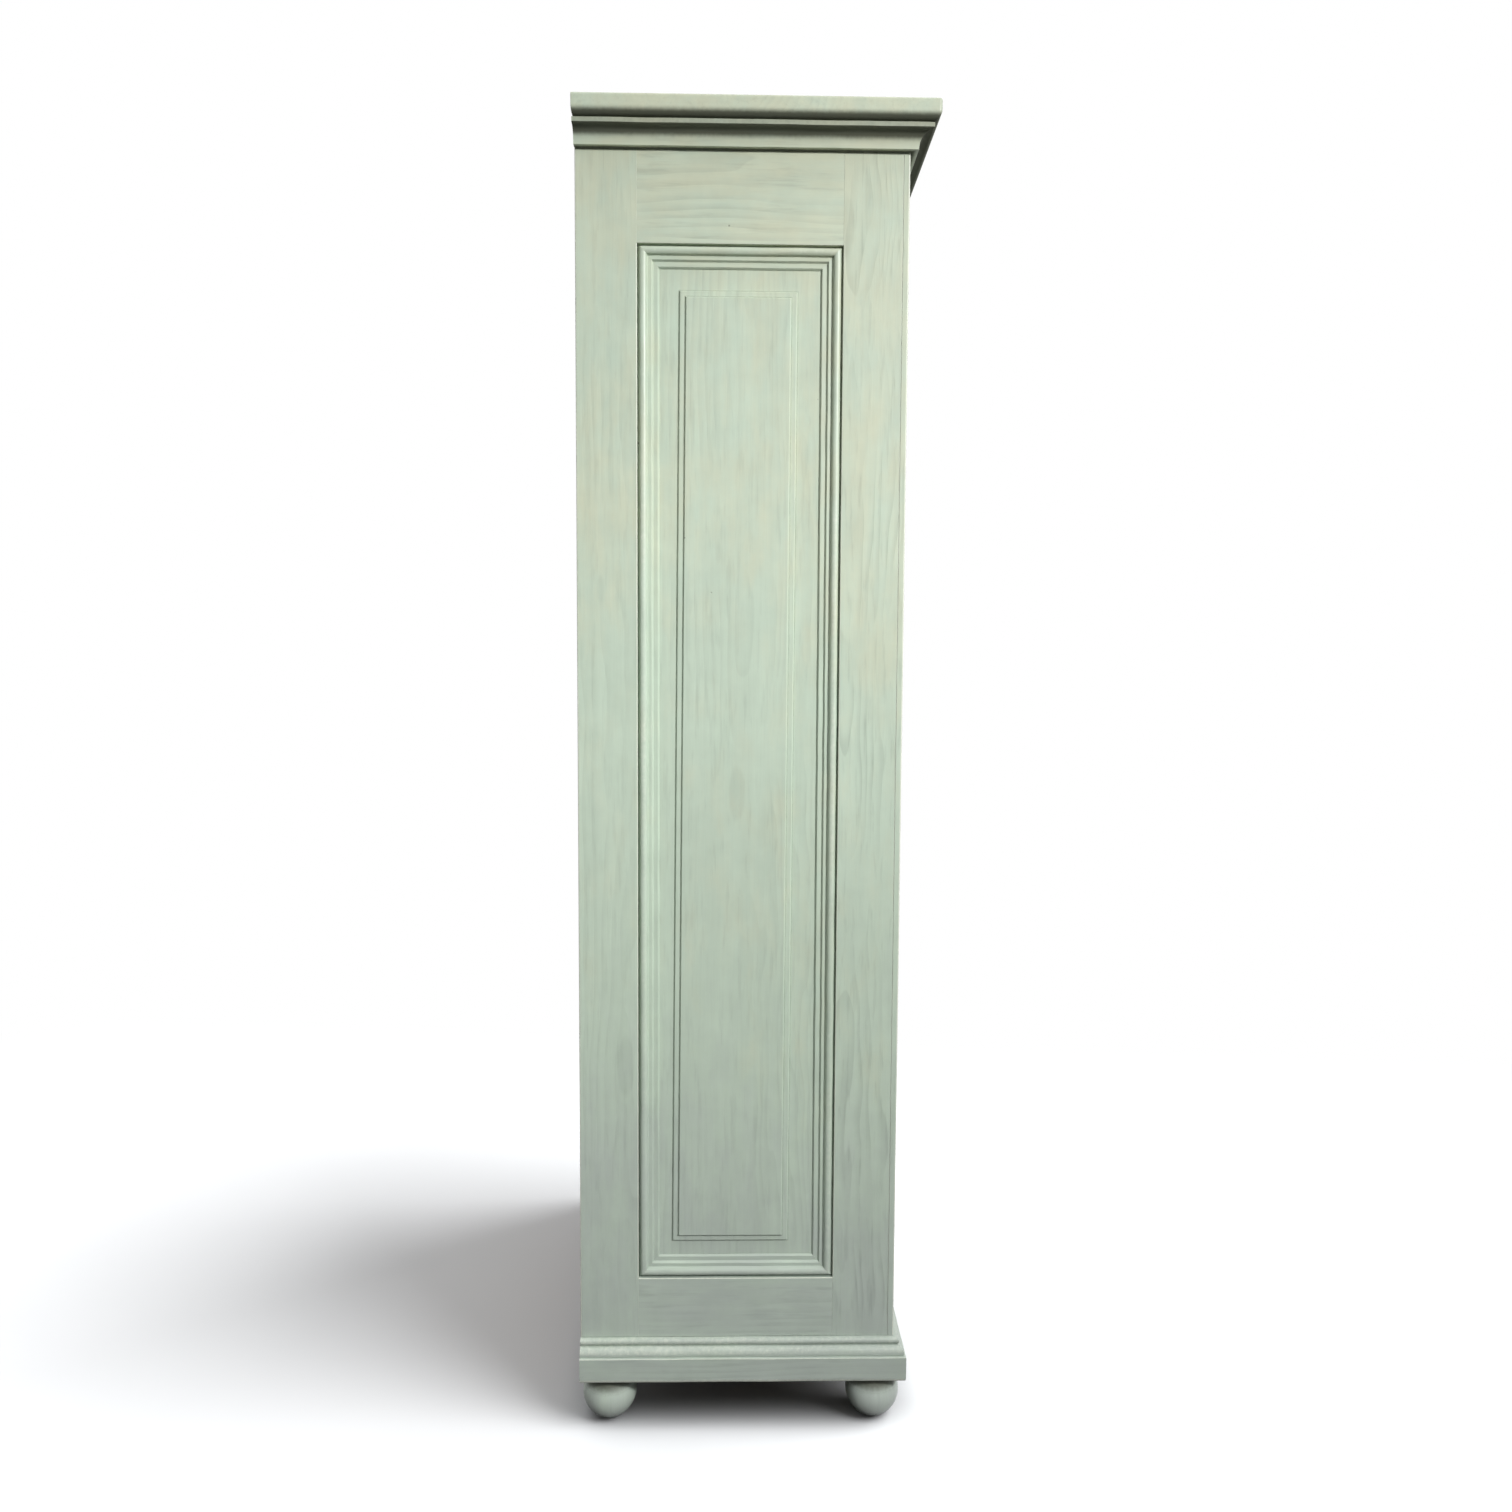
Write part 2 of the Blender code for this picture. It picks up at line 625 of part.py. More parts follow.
def fielded_panel(name, parent, opening, face_y, lean):
    """A panel with a raised field and a stepped edge, dropped to the bottom of its grooves."""
    width = opening[1] - opening[0]
    height = opening[3] - opening[2]
    grown = 2 * GROOVE_DEPTH - PANEL_PLAY
    size = Vector((width + grown, PANEL_TONGUE, height + grown))
    border = MOULDING_WIDTH + FIELD_SIDE_MARGIN
    field_width = width - 2 * border
    field_height = height - 2 * (MOULDING_WIDTH + FIELD_END_MARGIN)
    bm = box_mesh(size)
    face = min(bm.faces, key=lambda f: f.calc_center_median().y)
    bmesh.ops.inset_region(bm, faces=[face], thickness=border, use_even_offset=True)
    stretch = (field_width / (size.x - 2 * border), 1, field_height / (size.z - 2 * border))
    bmesh.ops.scale(bm, vec=stretch, verts=face.verts)
    inset_chain(
        bm, face, ((STEP_DRAFT, FIELD_STEP), (FIELD_STRIP, STEP_DRAFT), (STEP_DRAFT, FIELD_STEP))
    )
    slack = PANEL_PLAY / 2 - FIT
    centre = (
        (opening[0] + opening[1]) / 2 + lean * slack,
        face_y + PANEL_TONGUE / 2,
        (opening[2] + opening[3]) / 2 - slack,
    )
    place(name, bm, PAINT, centre, parent)


def moulding_profile():
    """Section of a panel moulding as (inwards, height above the panel) points."""
    base = PANEL_RECESS - FIT
    quirk = base - MOULDING_QUIRK_DEPTH
    first = base - MOULDING_FIRST_DEPTH
    second = base - MOULDING_SECOND_DEPTH
    bead = ellipse_arc(
        (MOULDING_QUIRK + MOULDING_BEAD_RADIUS, quirk),
        (MOULDING_BEAD_RADIUS, MOULDING_QUIRK_DEPTH - MOULDING_BEAD_DROP),
        math.pi,
        0,
        2 * ARC_STEPS,
    )
    bead_end = MOULDING_QUIRK + 2 * MOULDING_BEAD_RADIUS
    first_end = bead_end + STEP_DRAFT + MOULDING_FIRST_TREAD
    second_end = first_end + STEP_DRAFT + MOULDING_SECOND_TREAD
    return [
        (0, 0),
        (STEP_DRAFT, quirk),
        *bead,
        (bead_end + STEP_DRAFT, first),
        (first_end, first),
        (first_end + STEP_DRAFT, second),
        (second_end, second),
        (second_end + STEP_DRAFT, 0),
    ]


def panel_moulding(name, parent, opening, face_y):
    """The mitred moulding in the corner of frame and panel: a quirk, a bead and two treads."""
    profile = moulding_profile()
    steps = [(b[0] - a[0], b[1] - a[1]) for a, b in zip(profile, profile[1:])]
    size = (opening[1] - opening[0] - 2 * FIT, opening[3] - opening[2] - 2 * FIT, 1)
    bm = bmesh.new()
    bmesh.ops.create_grid(bm, x_segments=1, y_segments=1, size=0.5)
    bmesh.ops.scale(bm, vec=size, verts=bm.verts)
    turn_mesh(bm, "X")
    face = next(iter(bm.faces))
    inset_chain(bm, face, steps)
    bmesh.ops.delete(bm, geom=[face], context="FACES_ONLY")
    bmesh.ops.bridge_loops(bm, edges=[edge for edge in bm.edges if edge.is_boundary])
    bmesh.ops.recalc_face_normals(bm, faces=bm.faces)
    seat = face_y + PANEL_RECESS - FIT
    place(name, bm, PAINT, ((opening[0] + opening[1]) / 2, seat, (opening[2] + opening[3]) / 2), parent)


# Carcass


def build_sides():
    """The two framed sides, standing on the base box with their rear stiles rebated for the back boards."""
    depth = BODY_DEPTH - CORNER_LIP - FIT
    size = (depth, BODY_HEIGHT - 2 * FIT)
    floor = BASE_TOP + FIT
    rails = (SIDE_TOP_RAIL, SIDE_BOTTOM_RAIL)
    rail_names = ("top_rail", "bottom_rail")
    rebate = BACK_THICK + FIT
    shoulder = STOCK - BACK_REBATE
    past = BODY_HEIGHT + STOCK

    left = axis_empty("left_side", (-HALF_WIDTH, BACK_Y, floor), -QUARTER)
    rear_stile, front_stile = framed_panel(
        "left_side",
        left,
        (0, 0, 0),
        size,
        (SIDE_REAR_STILE, SIDE_FRONT_STILE, *rails),
        ("rear_stile", "front_stile", *rail_names),
        -1,
    )
    cut_box(rear_stile, (-STOCK, shoulder, -STOCK), (rebate, 2 * STOCK, past))

    right = axis_empty("right_side", (HALF_WIDTH, BACK_Y - depth, floor), QUARTER)
    front_stile, rear_stile = framed_panel(
        "right_side",
        right,
        (0, 0, 0),
        size,
        (SIDE_FRONT_STILE, SIDE_REAR_STILE, *rails),
        ("front_stile", "rear_stile", *rail_names),
        1,
    )
    cut_box(rear_stile, (depth - rebate, shoulder, -STOCK), (depth + STOCK, 2 * STOCK, past))


def build_face_frame():
    """Two rebated corner stiles and two tenoned rails round the door. Returns the stile with the hinges."""
    low, high = BASE_TOP + FIT, BODY_TOP - FIT
    tenon_front = FRONT_Y + PANEL_RECESS
    tenon_back = tenon_front + PANEL_TONGUE
    inner = HALF_WIDTH - FACE_STILE
    rails = {
        "face_top_rail": (BODY_TOP - FACE_TOP_RAIL, high),
        "face_bottom_rail": (low, BASE_TOP + FACE_BOTTOM_RAIL),
    }
    for name, (rail_low, rail_high) in rails.items():
        rail = board(name, (-inner + FIT, FRONT_Y, rail_low), (inner - FIT, FRAME_BACK_Y, rail_high), PAINT)
        add_box(
            rail,
            (-inner - TENON_LENGTH, tenon_front + FIT, rail_low + TENON_SHOULDER),
            (inner + TENON_LENGTH, tenon_back - FIT, rail_high - TENON_SHOULDER),
        )
    stiles = []
    for side, sign in (("left", -1), ("right", 1)):
        ends = sorted((sign * inner, sign * HALF_WIDTH))
        stile = board(
            f"face_stile_{side}", (ends[0], FRONT_Y, low), (ends[1], FRAME_BACK_Y, high), PAINT
        )
        lap = sorted((sign * (INNER_X - FIT), sign * (HALF_WIDTH + STOCK)))
        cut_box(
            stile, (lap[0], FRONT_Y + CORNER_LIP, low - STOCK), (lap[1], FRAME_BACK_Y + STOCK, high + STOCK)
        )
        socket = sorted((sign * (inner - STOCK), sign * (inner + TENON_LENGTH + FIT)))
        for rail_low, rail_high in rails.values():
            cut_box(
                stile,
                (socket[0], tenon_front, rail_low + TENON_SHOULDER - FIT),
                (socket[1], tenon_back, rail_high - TENON_SHOULDER + FIT),
            )
        stiles.append(stile)
    return stiles[0]


def build_door_stops():
    """Strips behind the face frame's rails that the door closes against."""
    half = HALF_WIDTH - FACE_STILE - STOP_END
    top, bottom = BODY_TOP - FACE_TOP_RAIL, BASE_TOP + FACE_BOTTOM_RAIL
    front = FRAME_BACK_Y + FIT
    spans = {
        "door_stop_top": (top - STOP_LAP, top + STOP_HOLD),
        "door_stop_bottom": (bottom - STOP_HOLD, bottom + STOP_LAP),
    }
    for name, (low, high) in spans.items():
        board(name, (-half, front, low), (half, front + STOP_THICK, high), PINE)


def back_board_outline(pitch, grooved, tongued):
    """Plan of one back board as (across, depth) points, from its near edge at 0 to its far edge at the pitch."""
    mid = BACK_THICK / 2
    half = TONGUE_THICK / 2
    near, far = FIT / 2, pitch - FIT / 2
    outline = [(near, 0)]
    if grooved:
        deep = near + TONGUE_LENGTH + FIT
        outline += [(near, mid - half - FIT), (deep, mid - half - FIT)]
        outline += [(deep, mid + half + FIT), (near, mid + half + FIT)]
    outline += [(near, BACK_THICK), (far, BACK_THICK)]
    if tongued:
        tip = far + TONGUE_LENGTH
        outline += [(far, mid + half), (tip, mid + half), (tip, mid - half), (far, mid - half)]
    outline.append((far, 0))
    return outline


def build_back():
    """Upright tongued and grooved boards in the rebates of the two sides."""
    span = 2 * (INNER_X + BACK_REBATE - FIT)
    pitch = span / BACK_BOARDS
    for index in range(BACK_BOARDS):
        outline = back_board_outline(pitch, index > 0, index < BACK_BOARDS - 1)
        plan = [(-depth, across) for across, depth in outline]
        bm = turn_mesh(extruded_mesh(plan, FIT - BODY_HEIGHT, -FIT), "Y")
        place(f"back_board_{index + 1}", bm, PINE, (-span / 2 + index * pitch, BACK_Y, BASE_TOP))


# Inside fittings


def build_shelf_and_rail():
    cleat_front = FRAME_BACK_Y + CLEAT_FROM_FRONT
    cleat_back = BACK_Y - CLEAT_FROM_BACK
    rail_y = (cleat_front + cleat_back) / 2
    under = SHELF_TOP - SHELF_THICK
    shelf_back = BACK_Y - BACK_THICK - 2 * FIT
    board("hat_shelf", (-INNER_X + FIT, cleat_front, under), (INNER_X - FIT, shelf_back, SHELF_TOP), PINE)
    for side, sign in (("left", -1), ("right", 1)):
        wall = sign * (INNER_X - FIT)
        ends = sorted((wall, sign * (INNER_X - CLEAT)))
        board(
            f"shelf_cleat_{side}",
            (ends[0], cleat_front, under - FIT - CLEAT),
            (ends[1], cleat_back, under - FIT),
            PINE,
        )
        build_rail_support(side, sorted((wall, sign * (INNER_X - SUPPORT_THICK))), cleat_front, cleat_back)
    rail_mesh = cylinder_mesh(RAIL_RADIUS, 2 * (INNER_X - FIT), FOOT_SIDES)
    rail = place("hanging_rail", rail_mesh, PINE, (0, rail_y, RAIL_Z))
    rail.rotation_euler = (0, QUARTER, 0)


def build_rail_support(side, ends, front, back):
    """A board between the stiles of one side, with an open-topped socket that the hanging rail drops into."""
    socket = RAIL_RADIUS + FIT
    low = RAIL_Z - socket - SUPPORT_BELOW_RAIL
    top = RAIL_Z + RAIL_RADIUS + SUPPORT_ABOVE_RAIL
    middle_x, middle_y = sum(ends) / 2, (front + back) / 2
    support = board(f"rail_support_{side}", (ends[0], front, low), (ends[1], back, top), PINE)
    cut_cylinder(support, socket, 2 * SUPPORT_THICK, (middle_x, middle_y, RAIL_Z), (0, QUARTER, 0))
    cut_box(
        support,
        (middle_x - SUPPORT_THICK, middle_y - socket, RAIL_Z),
        (middle_x + SUPPORT_THICK, middle_y + socket, top + SUPPORT_ABOVE_RAIL),
    )


# Door and hinges


def build_door(face_stile):
    axis = axis_empty("door_axis", (PIN_X, PIN_Y, 0))
    hinge_stile, lock_stile = framed_panel(
        "door",
        axis,
        (DOOR_LEFT - PIN_X, FRONT_Y - PIN_Y, DOOR_LOW),
        (DOOR_RIGHT - DOOR_LEFT, DOOR_HIGH - DOOR_LOW),
        (DOOR_STILE, DOOR_STILE, DOOR_TOP_RAIL, DOOR_BOTTOM_RAIL),
        ("hinge_stile", "lock_stile", "top_rail", "bottom_rail"),
        0,
    )
    for level, z in (("lower", DOOR_LOW + HINGE_FROM_END), ("upper", DOOR_HIGH - HINGE_FROM_END)):
        build_hinge(level, z, axis, hinge_stile, face_stile)
    build_lock(axis, lock_stile)


def build_hinge(level, z, axis, door_stile, face_stile):
    """A lift-off hinge: the frame's half carries the pin, and the door's half drops over it."""
    bore = HINGE_PIN_RADIUS + HINGE_BORE_CLEARANCE
    bore_end = HINGE_PIN_LENGTH + FIT
    finial = ellipse_arc((0, HINGE_HALF_LENGTH), (HINGE_FINIAL_RADIUS, HINGE_FINIAL), QUARTER, 0)
    frame_profile = [
        (0, HINGE_PIN_LENGTH),
        (HINGE_PIN_RADIUS, HINGE_PIN_LENGTH),
        (HINGE_PIN_RADIUS, 0),
        (HINGE_RADIUS, 0),
        (HINGE_RADIUS, -HINGE_HALF_LENGTH),
        *[(radius, -height) for radius, height in reversed(finial)],
    ]
    door_profile = [
        *finial,
        (HINGE_RADIUS, HINGE_HALF_LENGTH),
        (HINGE_RADIUS, FIT),
        (bore, FIT),
        (bore, bore_end),
        (0, bore_end),
    ]
    side = DOOR_GAP / 2
    front = (bore + HINGE_RADIUS) / 2
    back = HINGE_PROUD + HINGE_BLADE_DEPTH
    blade = (HINGE_BLADE_MARGIN, HINGE_HALF_LENGTH - HINGE_BLADE_MARGIN)
    room = Vector((FIT, FIT, FIT))
    open_side = Vector((side, 0, 0))

    pin = Vector((PIN_X, PIN_Y, z))
    frame_half = turned(f"hinge_{level}_frame_half", frame_profile, BARREL_SIDES, IRON, pin)
    low = pin + Vector((-side - HINGE_BLADE_THICK, front, -blade[1]))
    high = pin + Vector((-side, back, -blade[0]))
    add_box(frame_half, low, high)
    cut_box(face_stile, low - room, high + room + open_side)

    door_half = turned(f"hinge_{level}_door_half", door_profile, BARREL_SIDES, IRON, (0, 0, z), axis)
    low = Vector((side, front, z + blade[0]))
    high = Vector((side + HINGE_BLADE_THICK, back, z + blade[1]))
    add_box(door_half, low, high)
    cut_box(door_stile, low - room - open_side, high + room)


# Lock, bolt, key and keeper


def build_lock(axis, lock_stile):
    """A rim lock on the door's inside, with its bolt and key, and the keeper on the face frame."""
    key_x = KEY_X - PIN_X
    face = FRONT_Y - PIN_Y
    edge = DOOR_RIGHT - PIN_X - LOCK_SETBACK
    seat = face + STOCK + FIT
    wall = Vector((LOCK_WALL, LOCK_WALL, LOCK_WALL))
    room = Vector((0, FIT, FIT))
    case_low = Vector((edge - LOCK_WIDTH, seat, KEY_Z - LOCK_HEIGHT / 2))
    case_high = Vector((edge, seat + LOCK_DEPTH, KEY_Z + LOCK_HEIGHT / 2))
    inside = case_high.y - LOCK_WALL
    case = board("lock_case", case_low, case_high, IRON, axis, ease=0)
    cut_box(case, case_low + wall - Vector((0, LOCK_DEPTH, 0)), case_high - wall)

    bolt_low = Vector((edge - BOLT_LENGTH, inside - FIT - BOLT_THICK, KEY_Z + BOLT_ABOVE_KEY))
    bolt_high = Vector((edge, inside - FIT, KEY_Z + BOLT_ABOVE_KEY + BOLT_HEIGHT))
    cut_box(case, bolt_low + Vector((LOCK_WALL, 0, 0)) - room, bolt_high + Vector((LOCK_WALL, 0, 0)) + room)
    slide = axis_empty("bolt_slide", (0, 0, 0), parent=axis)
    bolt = board("lock_bolt", bolt_low, bolt_high, IRON, slide, ease=EASE / 2)
    cut_talon(bolt, key_x, bolt_low, bolt_high)

    build_key(axis, key_x, inside - KEY_TIP_GAP)
    build_keyhole(axis, lock_stile, (key_x, face, KEY_Z))
    build_keeper(bolt_low, bolt_high)


def cut_talon(bolt, key_x, low, high):
    """The notch in the bolt's lower edge that the turning bit passes through while the bolt moves."""
    rise = math.acos(BOLT_ABOVE_KEY / KEY_BIT_REACH)
    sweep = KEY_BIT_REACH * math.sin(rise) + KEY_BIT_THICK
    early = BOLT_THROW * (math.pi - rise) / (2 * math.pi)
    late = BOLT_THROW * (math.pi + rise) / (2 * math.pi)
    cut_box(
        bolt,
        (key_x - sweep - early, low.y - BOLT_THICK, low.z - KEY_BIT_BITE),
        (key_x + sweep - late + KEY_BIT_THICK, high.y + BOLT_THICK, low.z + KEY_BIT_BITE + TALON_ROOM),
    )


def build_key(axis, key_x, tip):
    """A key along Y with a ring bow, a collar against the keyhole and a bit that hangs down at rest."""
    turn = axis_empty("key_axis", (key_x, 0, KEY_Z), parent=axis)
    face = FRONT_Y - PIN_Y
    collar = face - RIM_PROUD - 2 * FIT
    head = face - KEY_SHANK_OUT
    profile = [
        (0, tip),
        (KEY_SHANK, tip),
        (KEY_SHANK, collar),
        (KEY_COLLAR, collar),
        (KEY_COLLAR, collar - KEY_COLLAR),
        (KEY_SHANK, collar - KEY_COLLAR - KEY_SHANK / 2),
        (KEY_SHANK, head),
        (0, head - KEY_BOW_WIRE),
    ]
    key = turned("key", profile, BARREL_SIDES, IRON, (0, 0, 0), turn)
    key.rotation_euler = (-QUARTER, 0, 0)
    bpy.ops.mesh.primitive_torus_add(
        major_segments=2 * BARREL_SIDES,
        minor_segments=BARREL_SIDES // 2,
        major_radius=KEY_BOW_RADIUS,
        minor_radius=KEY_BOW_WIRE,
        location=(0, head - KEY_BOW_RADIUS, 0),
        rotation=(0, QUARTER, 0),
    )
    bow = bpy.context.object
    bow.name = "key_bow"
    bow.parent = turn
    for collection in list(bow.users_collection):
        collection.objects.unlink(bow)
    CUTTERS.objects.link(bow)
    boolean(key, bow, "UNION")
    bit_end = tip - KEY_TIP_GAP
    add_box(
        key,
        (-KEY_BIT_THICK / 2, bit_end - KEY_BIT_WIDTH, -KEY_BIT_REACH),
        (KEY_BIT_THICK / 2, bit_end, 0),
    )


def keyhole_prism(grown, front, back):
    """A keyhole outline, a round hole over a slot, grown all round and carried along Y."""
    radius, half, drop = KEYHOLE_RADIUS + grown, KEYHOLE_SLOT / 2 + grown, KEYHOLE_DROP + grown
    spread = math.asin(half / radius)
    start, end = -QUARTER + spread, 3 * QUARTER - spread
    outline = [*arc((0, 0), radius, start, end, 2 * ARC_STEPS), (-half, -drop), (half, -drop)]
    return turn_mesh(extruded_mesh(outline, front, back), "Z")


def build_keyhole(axis, stile, centre):
    """Cuts the keyhole through the lock stile and lines its mouth with a thin brass rim."""
    rim_mesh = keyhole_prism(RIM_WALL, -RIM_PROUD, RIM_DEPTH)
    hole_mesh = keyhole_prism(0, -STOCK, 2 * STOCK)
    seat_mesh = keyhole_prism(RIM_WALL + FIT, -STOCK, RIM_DEPTH + FIT)
    rim = place("keyhole_rim", rim_mesh, BRASS, centre, axis)
    hole = place("keyhole", hole_mesh, None, centre, axis, CUTTERS)
    seat = place("keyhole_seat", seat_mesh, None, centre, axis, CUTTERS)
    boolean(rim, hole, "DIFFERENCE")
    boolean(stile, hole, "DIFFERENCE")
    boolean(stile, seat, "DIFFERENCE")


def build_keeper(bolt_low, bolt_high):
    """The bent iron keeper on the back of the face stile that the thrown bolt slides into."""
    seat = FRAME_BACK_Y + FIT
    back = PIN_Y + bolt_high.y + KEEPER_ROOM
    low, high = bolt_low.z - KEEPER_ROOM, bolt_high.z + KEEPER_ROOM
    left = HALF_WIDTH - FACE_STILE + EASE
    right = left + KEEPER_WIDTH
    keeper = board(
        "lock_keeper",
        (left, seat, low - KEEPER_FLANGE),
        (right, back + KEEPER_THICK, high + KEEPER_FLANGE),
        IRON,
        ease=0,
    )
    before, after = left - KEEPER_WIDTH, right + KEEPER_WIDTH
    flange = seat + KEEPER_THICK
    deep = back + STOCK
    past = KEEPER_THICK + 2 * KEEPER_FLANGE
    cut_box(keeper, (before, seat - STOCK, low), (after, back, high))
    cut_box(keeper, (before, flange, low - past), (after, deep, low - KEEPER_THICK))
    cut_box(keeper, (before, flange, high + KEEPER_THICK), (after, deep, high + past))


def smooth_round_pieces():
    """Shades the turned pieces smooth across their facets."""
    for obj in WARDROBE.objects:
        if obj.type == "MESH" and obj.name.startswith(("foot_", "hanging_rail", "hinge_", "key")):
            obj.data.shade_smooth()
            obj.data.set_sharp_from_angle(angle=math.radians(40))


build_base()
build_top()
build_sides()
build_door_stops()
build_back()
build_shelf_and_rail()
build_door(build_face_frame())
smooth_round_pieces()
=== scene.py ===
"""Dresses a narrow panelled wardrobe: brushed sage paint over pine, bare pine inside, iron and old brass.

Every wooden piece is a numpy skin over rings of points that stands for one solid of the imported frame.
Metres, +Z up, the door towards -Y, the origin on the floor under the middle of the wardrobe.
"""

import json
import math

import bpy
import numpy as np
from bpy.props import FloatProperty, FloatVectorProperty, IntProperty, PointerProperty
from mathutils import Matrix, Vector

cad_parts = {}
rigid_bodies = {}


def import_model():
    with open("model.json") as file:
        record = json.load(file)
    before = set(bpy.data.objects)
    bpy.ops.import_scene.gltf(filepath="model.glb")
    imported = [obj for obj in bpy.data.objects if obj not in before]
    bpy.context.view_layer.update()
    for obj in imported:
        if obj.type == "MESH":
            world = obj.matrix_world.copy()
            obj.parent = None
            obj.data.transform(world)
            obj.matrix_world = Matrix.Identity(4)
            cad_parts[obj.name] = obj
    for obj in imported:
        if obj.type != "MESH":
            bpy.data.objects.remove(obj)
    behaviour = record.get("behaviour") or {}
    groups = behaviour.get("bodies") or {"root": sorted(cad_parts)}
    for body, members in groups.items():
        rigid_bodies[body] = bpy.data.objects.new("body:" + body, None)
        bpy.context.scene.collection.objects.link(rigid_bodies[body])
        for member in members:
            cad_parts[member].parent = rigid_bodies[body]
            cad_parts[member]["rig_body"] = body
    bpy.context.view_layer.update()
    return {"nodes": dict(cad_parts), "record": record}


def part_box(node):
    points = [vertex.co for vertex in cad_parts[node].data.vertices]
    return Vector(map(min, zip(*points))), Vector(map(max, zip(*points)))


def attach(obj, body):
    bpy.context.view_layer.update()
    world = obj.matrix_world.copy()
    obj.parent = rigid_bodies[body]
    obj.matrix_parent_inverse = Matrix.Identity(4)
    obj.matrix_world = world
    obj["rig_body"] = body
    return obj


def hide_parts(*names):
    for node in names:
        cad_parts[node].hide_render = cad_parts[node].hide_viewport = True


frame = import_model()

bl_info = {
    "name": "Narrow Wardrobe",
    "version": (1, 0, 0),
    "blender": (4, 5, 0),
    "location": "3D View > Sidebar > Wardrobe",
    "description": "Builds a narrow painted pine wardrobe, its fittings and a plain studio round it",
    "category": "Object",
}

X, Y, Z = np.eye(3)
ORIGIN = np.zeros(3)
TURN = 2 * math.pi

# Length of the ripples in hand work, and how far from a bar's ends they die out
RIPPLE_WAVE = 0.17
CALM_END = 0.04
# Points round a corner, how far grime and painted shade spread from a hollow one, and the least angle of a
# sharp edge
CORNER_STEPS = 5
HOLLOW_REACH = 0.0014
SHARP_ANGLE = math.radians(40)

SLOT_OF = {part["node"]: part["material_slot"] for part in frame["record"]["subparts"]}
SEED_OF = {node: 10 * index for index, node in enumerate(sorted(SLOT_OF), 1)}


def box(node):
    """Lowest and highest corner of a solid of the frame, as arrays."""
    low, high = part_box(node)
    return np.array(low), np.array(high)


def span(node, direction):
    """A solid's least and greatest distance along a direction of the frame."""
    ends = np.array(box(node)) @ direction
    return ends.min(), ends.max()


STOCK = np.ptp(span("door_hinge_stile", Y))
BODY_LEFT, BODY_RIGHT = span("left_side_rear_stile", X)[0], span("right_side_rear_stile", X)[1]
BODY_FRONT, BODY_BACK = span("face_stile_left", Y)[0], span("left_side_rear_stile", Y)[1]
BODY_LOW, BODY_HIGH = span("face_stile_left", Z)
BASE_LOW, BASE_HIGH = span("plinth_left", Z)
DOOR_LOW, DOOR_HIGH = span("door_hinge_stile", Z)

# Depths of the panel and of its moulding's seat below the frame's face, and the raised field's steps
PANEL_DEPTH = 0.014
PANEL_THICK = 0.010
MOULDING_SEAT = 0.0137
FIELD_RISE = 0.0061
FIELD_STRIP = 0.0090
FIELD_SLOPE = 0.0021

# Play between pieces that fit into each other
FIT = 0.0003

# Laps of the corner stiles over the sides, and of the sides over the back boards, in width and depth
CORNER_LIP = 0.009
BACK_REBATE = (0.0153, 0.012)

# The key's axis, the keyhole round it, and the hinge pins
KEY_AXIS = np.array((0.2444, 0.0, DOOR_LOW + 0.8))
KEYHOLE_ROUND, KEYHOLE_HALF_SLOT, KEYHOLE_DROP, RIM_WALL = 0.004, 0.002, 0.015, 0.0014
PIERCED_HALF = 0.04
PIN_X, PIN_Y = -0.2837, -0.22635
HINGE_LEVELS = {"lower": DOOR_LOW + 0.18, "upper": DOOR_HIGH - 0.18}

FEET = [f"foot_{end}_{side}" for end in ("front", "rear") for side in ("left", "right")]


def number_setting(name, description, default, **kind):
    """A plain number that a user may change, of a kind if one fits."""
    return FloatProperty(name=name, description=description, default=default, **kind)


def length_setting(name, description, default):
    """A small length in metres."""
    return number_setting(name, description, default, unit="LENGTH", precision=5)


def colour_setting(name, description, default):
    """A linear colour."""
    return FloatVectorProperty(name=name, description=description, default=default, subtype="COLOR")


class WardrobeWork(bpy.types.PropertyGroup):
    """Sizes of the joiner's and the painter's hand work."""

    arris: length_setting("Arris", "Rounding of a painted edge", 0.0011)
    joint_arris: length_setting("Joint Arris", "Rounding left at a joint that paint has filled", 0.0002)
    joint_line: length_setting("Joint Line", "Open line left between two pieces of a frame", 0.00012)
    wobble: length_setting("Wobble", "Unevenness of hand planed and thickly painted mouldings", 0.0002)
    corner: length_setting("Body Corner", "Rounding of the body's upright corners", 0.0019)
    turning_sides: IntProperty(
        name="Turning Sides", description="Points round a turned piece", default=96, min=24, max=160
    )


class WardrobeColours(bpy.types.PropertyGroup):
    """Colours of the finishes, as linear values."""

    sage: colour_setting("Sage", "Main paint colour", (0.500, 0.597, 0.484))
    # Also the painted highlight along edges and crowns.
    sage_rub_and_highlight: colour_setting("Pale Sage", "Paint where it is thin or rubbed", (0.76, 0.79, 0.68))
    sage_warm: colour_setting("Warm Sage", "Paint yellowed in the warm air high up", (0.565, 0.595, 0.445))
    # Darker than the main paint, so it also paints shade low down.
    sage_grey_shaded: colour_setting("Grey Sage", "Paint greyed by dust near the floor", (0.435, 0.490, 0.440))
    # Also serves as painted shade in hollows and under ledges.
    grime_and_shade: colour_setting("Grime", "Dark line in hollow corners", (0.07, 0.075, 0.05))
    pine_pale: colour_setting("Pale Pine", "Spring growth of bare pine", (0.62, 0.42, 0.215))
    pine_deep: colour_setting("Deep Pine", "Summer growth of bare pine", (0.43, 0.23, 0.085))
    knot: colour_setting("Knot", "Heart of a knot", (0.16, 0.066, 0.024))
    iron: colour_setting("Iron", "Oiled dark iron", (0.105, 0.098, 0.09))
    brass: colour_setting("Brass", "Dulled brass", (0.58, 0.41, 0.165))


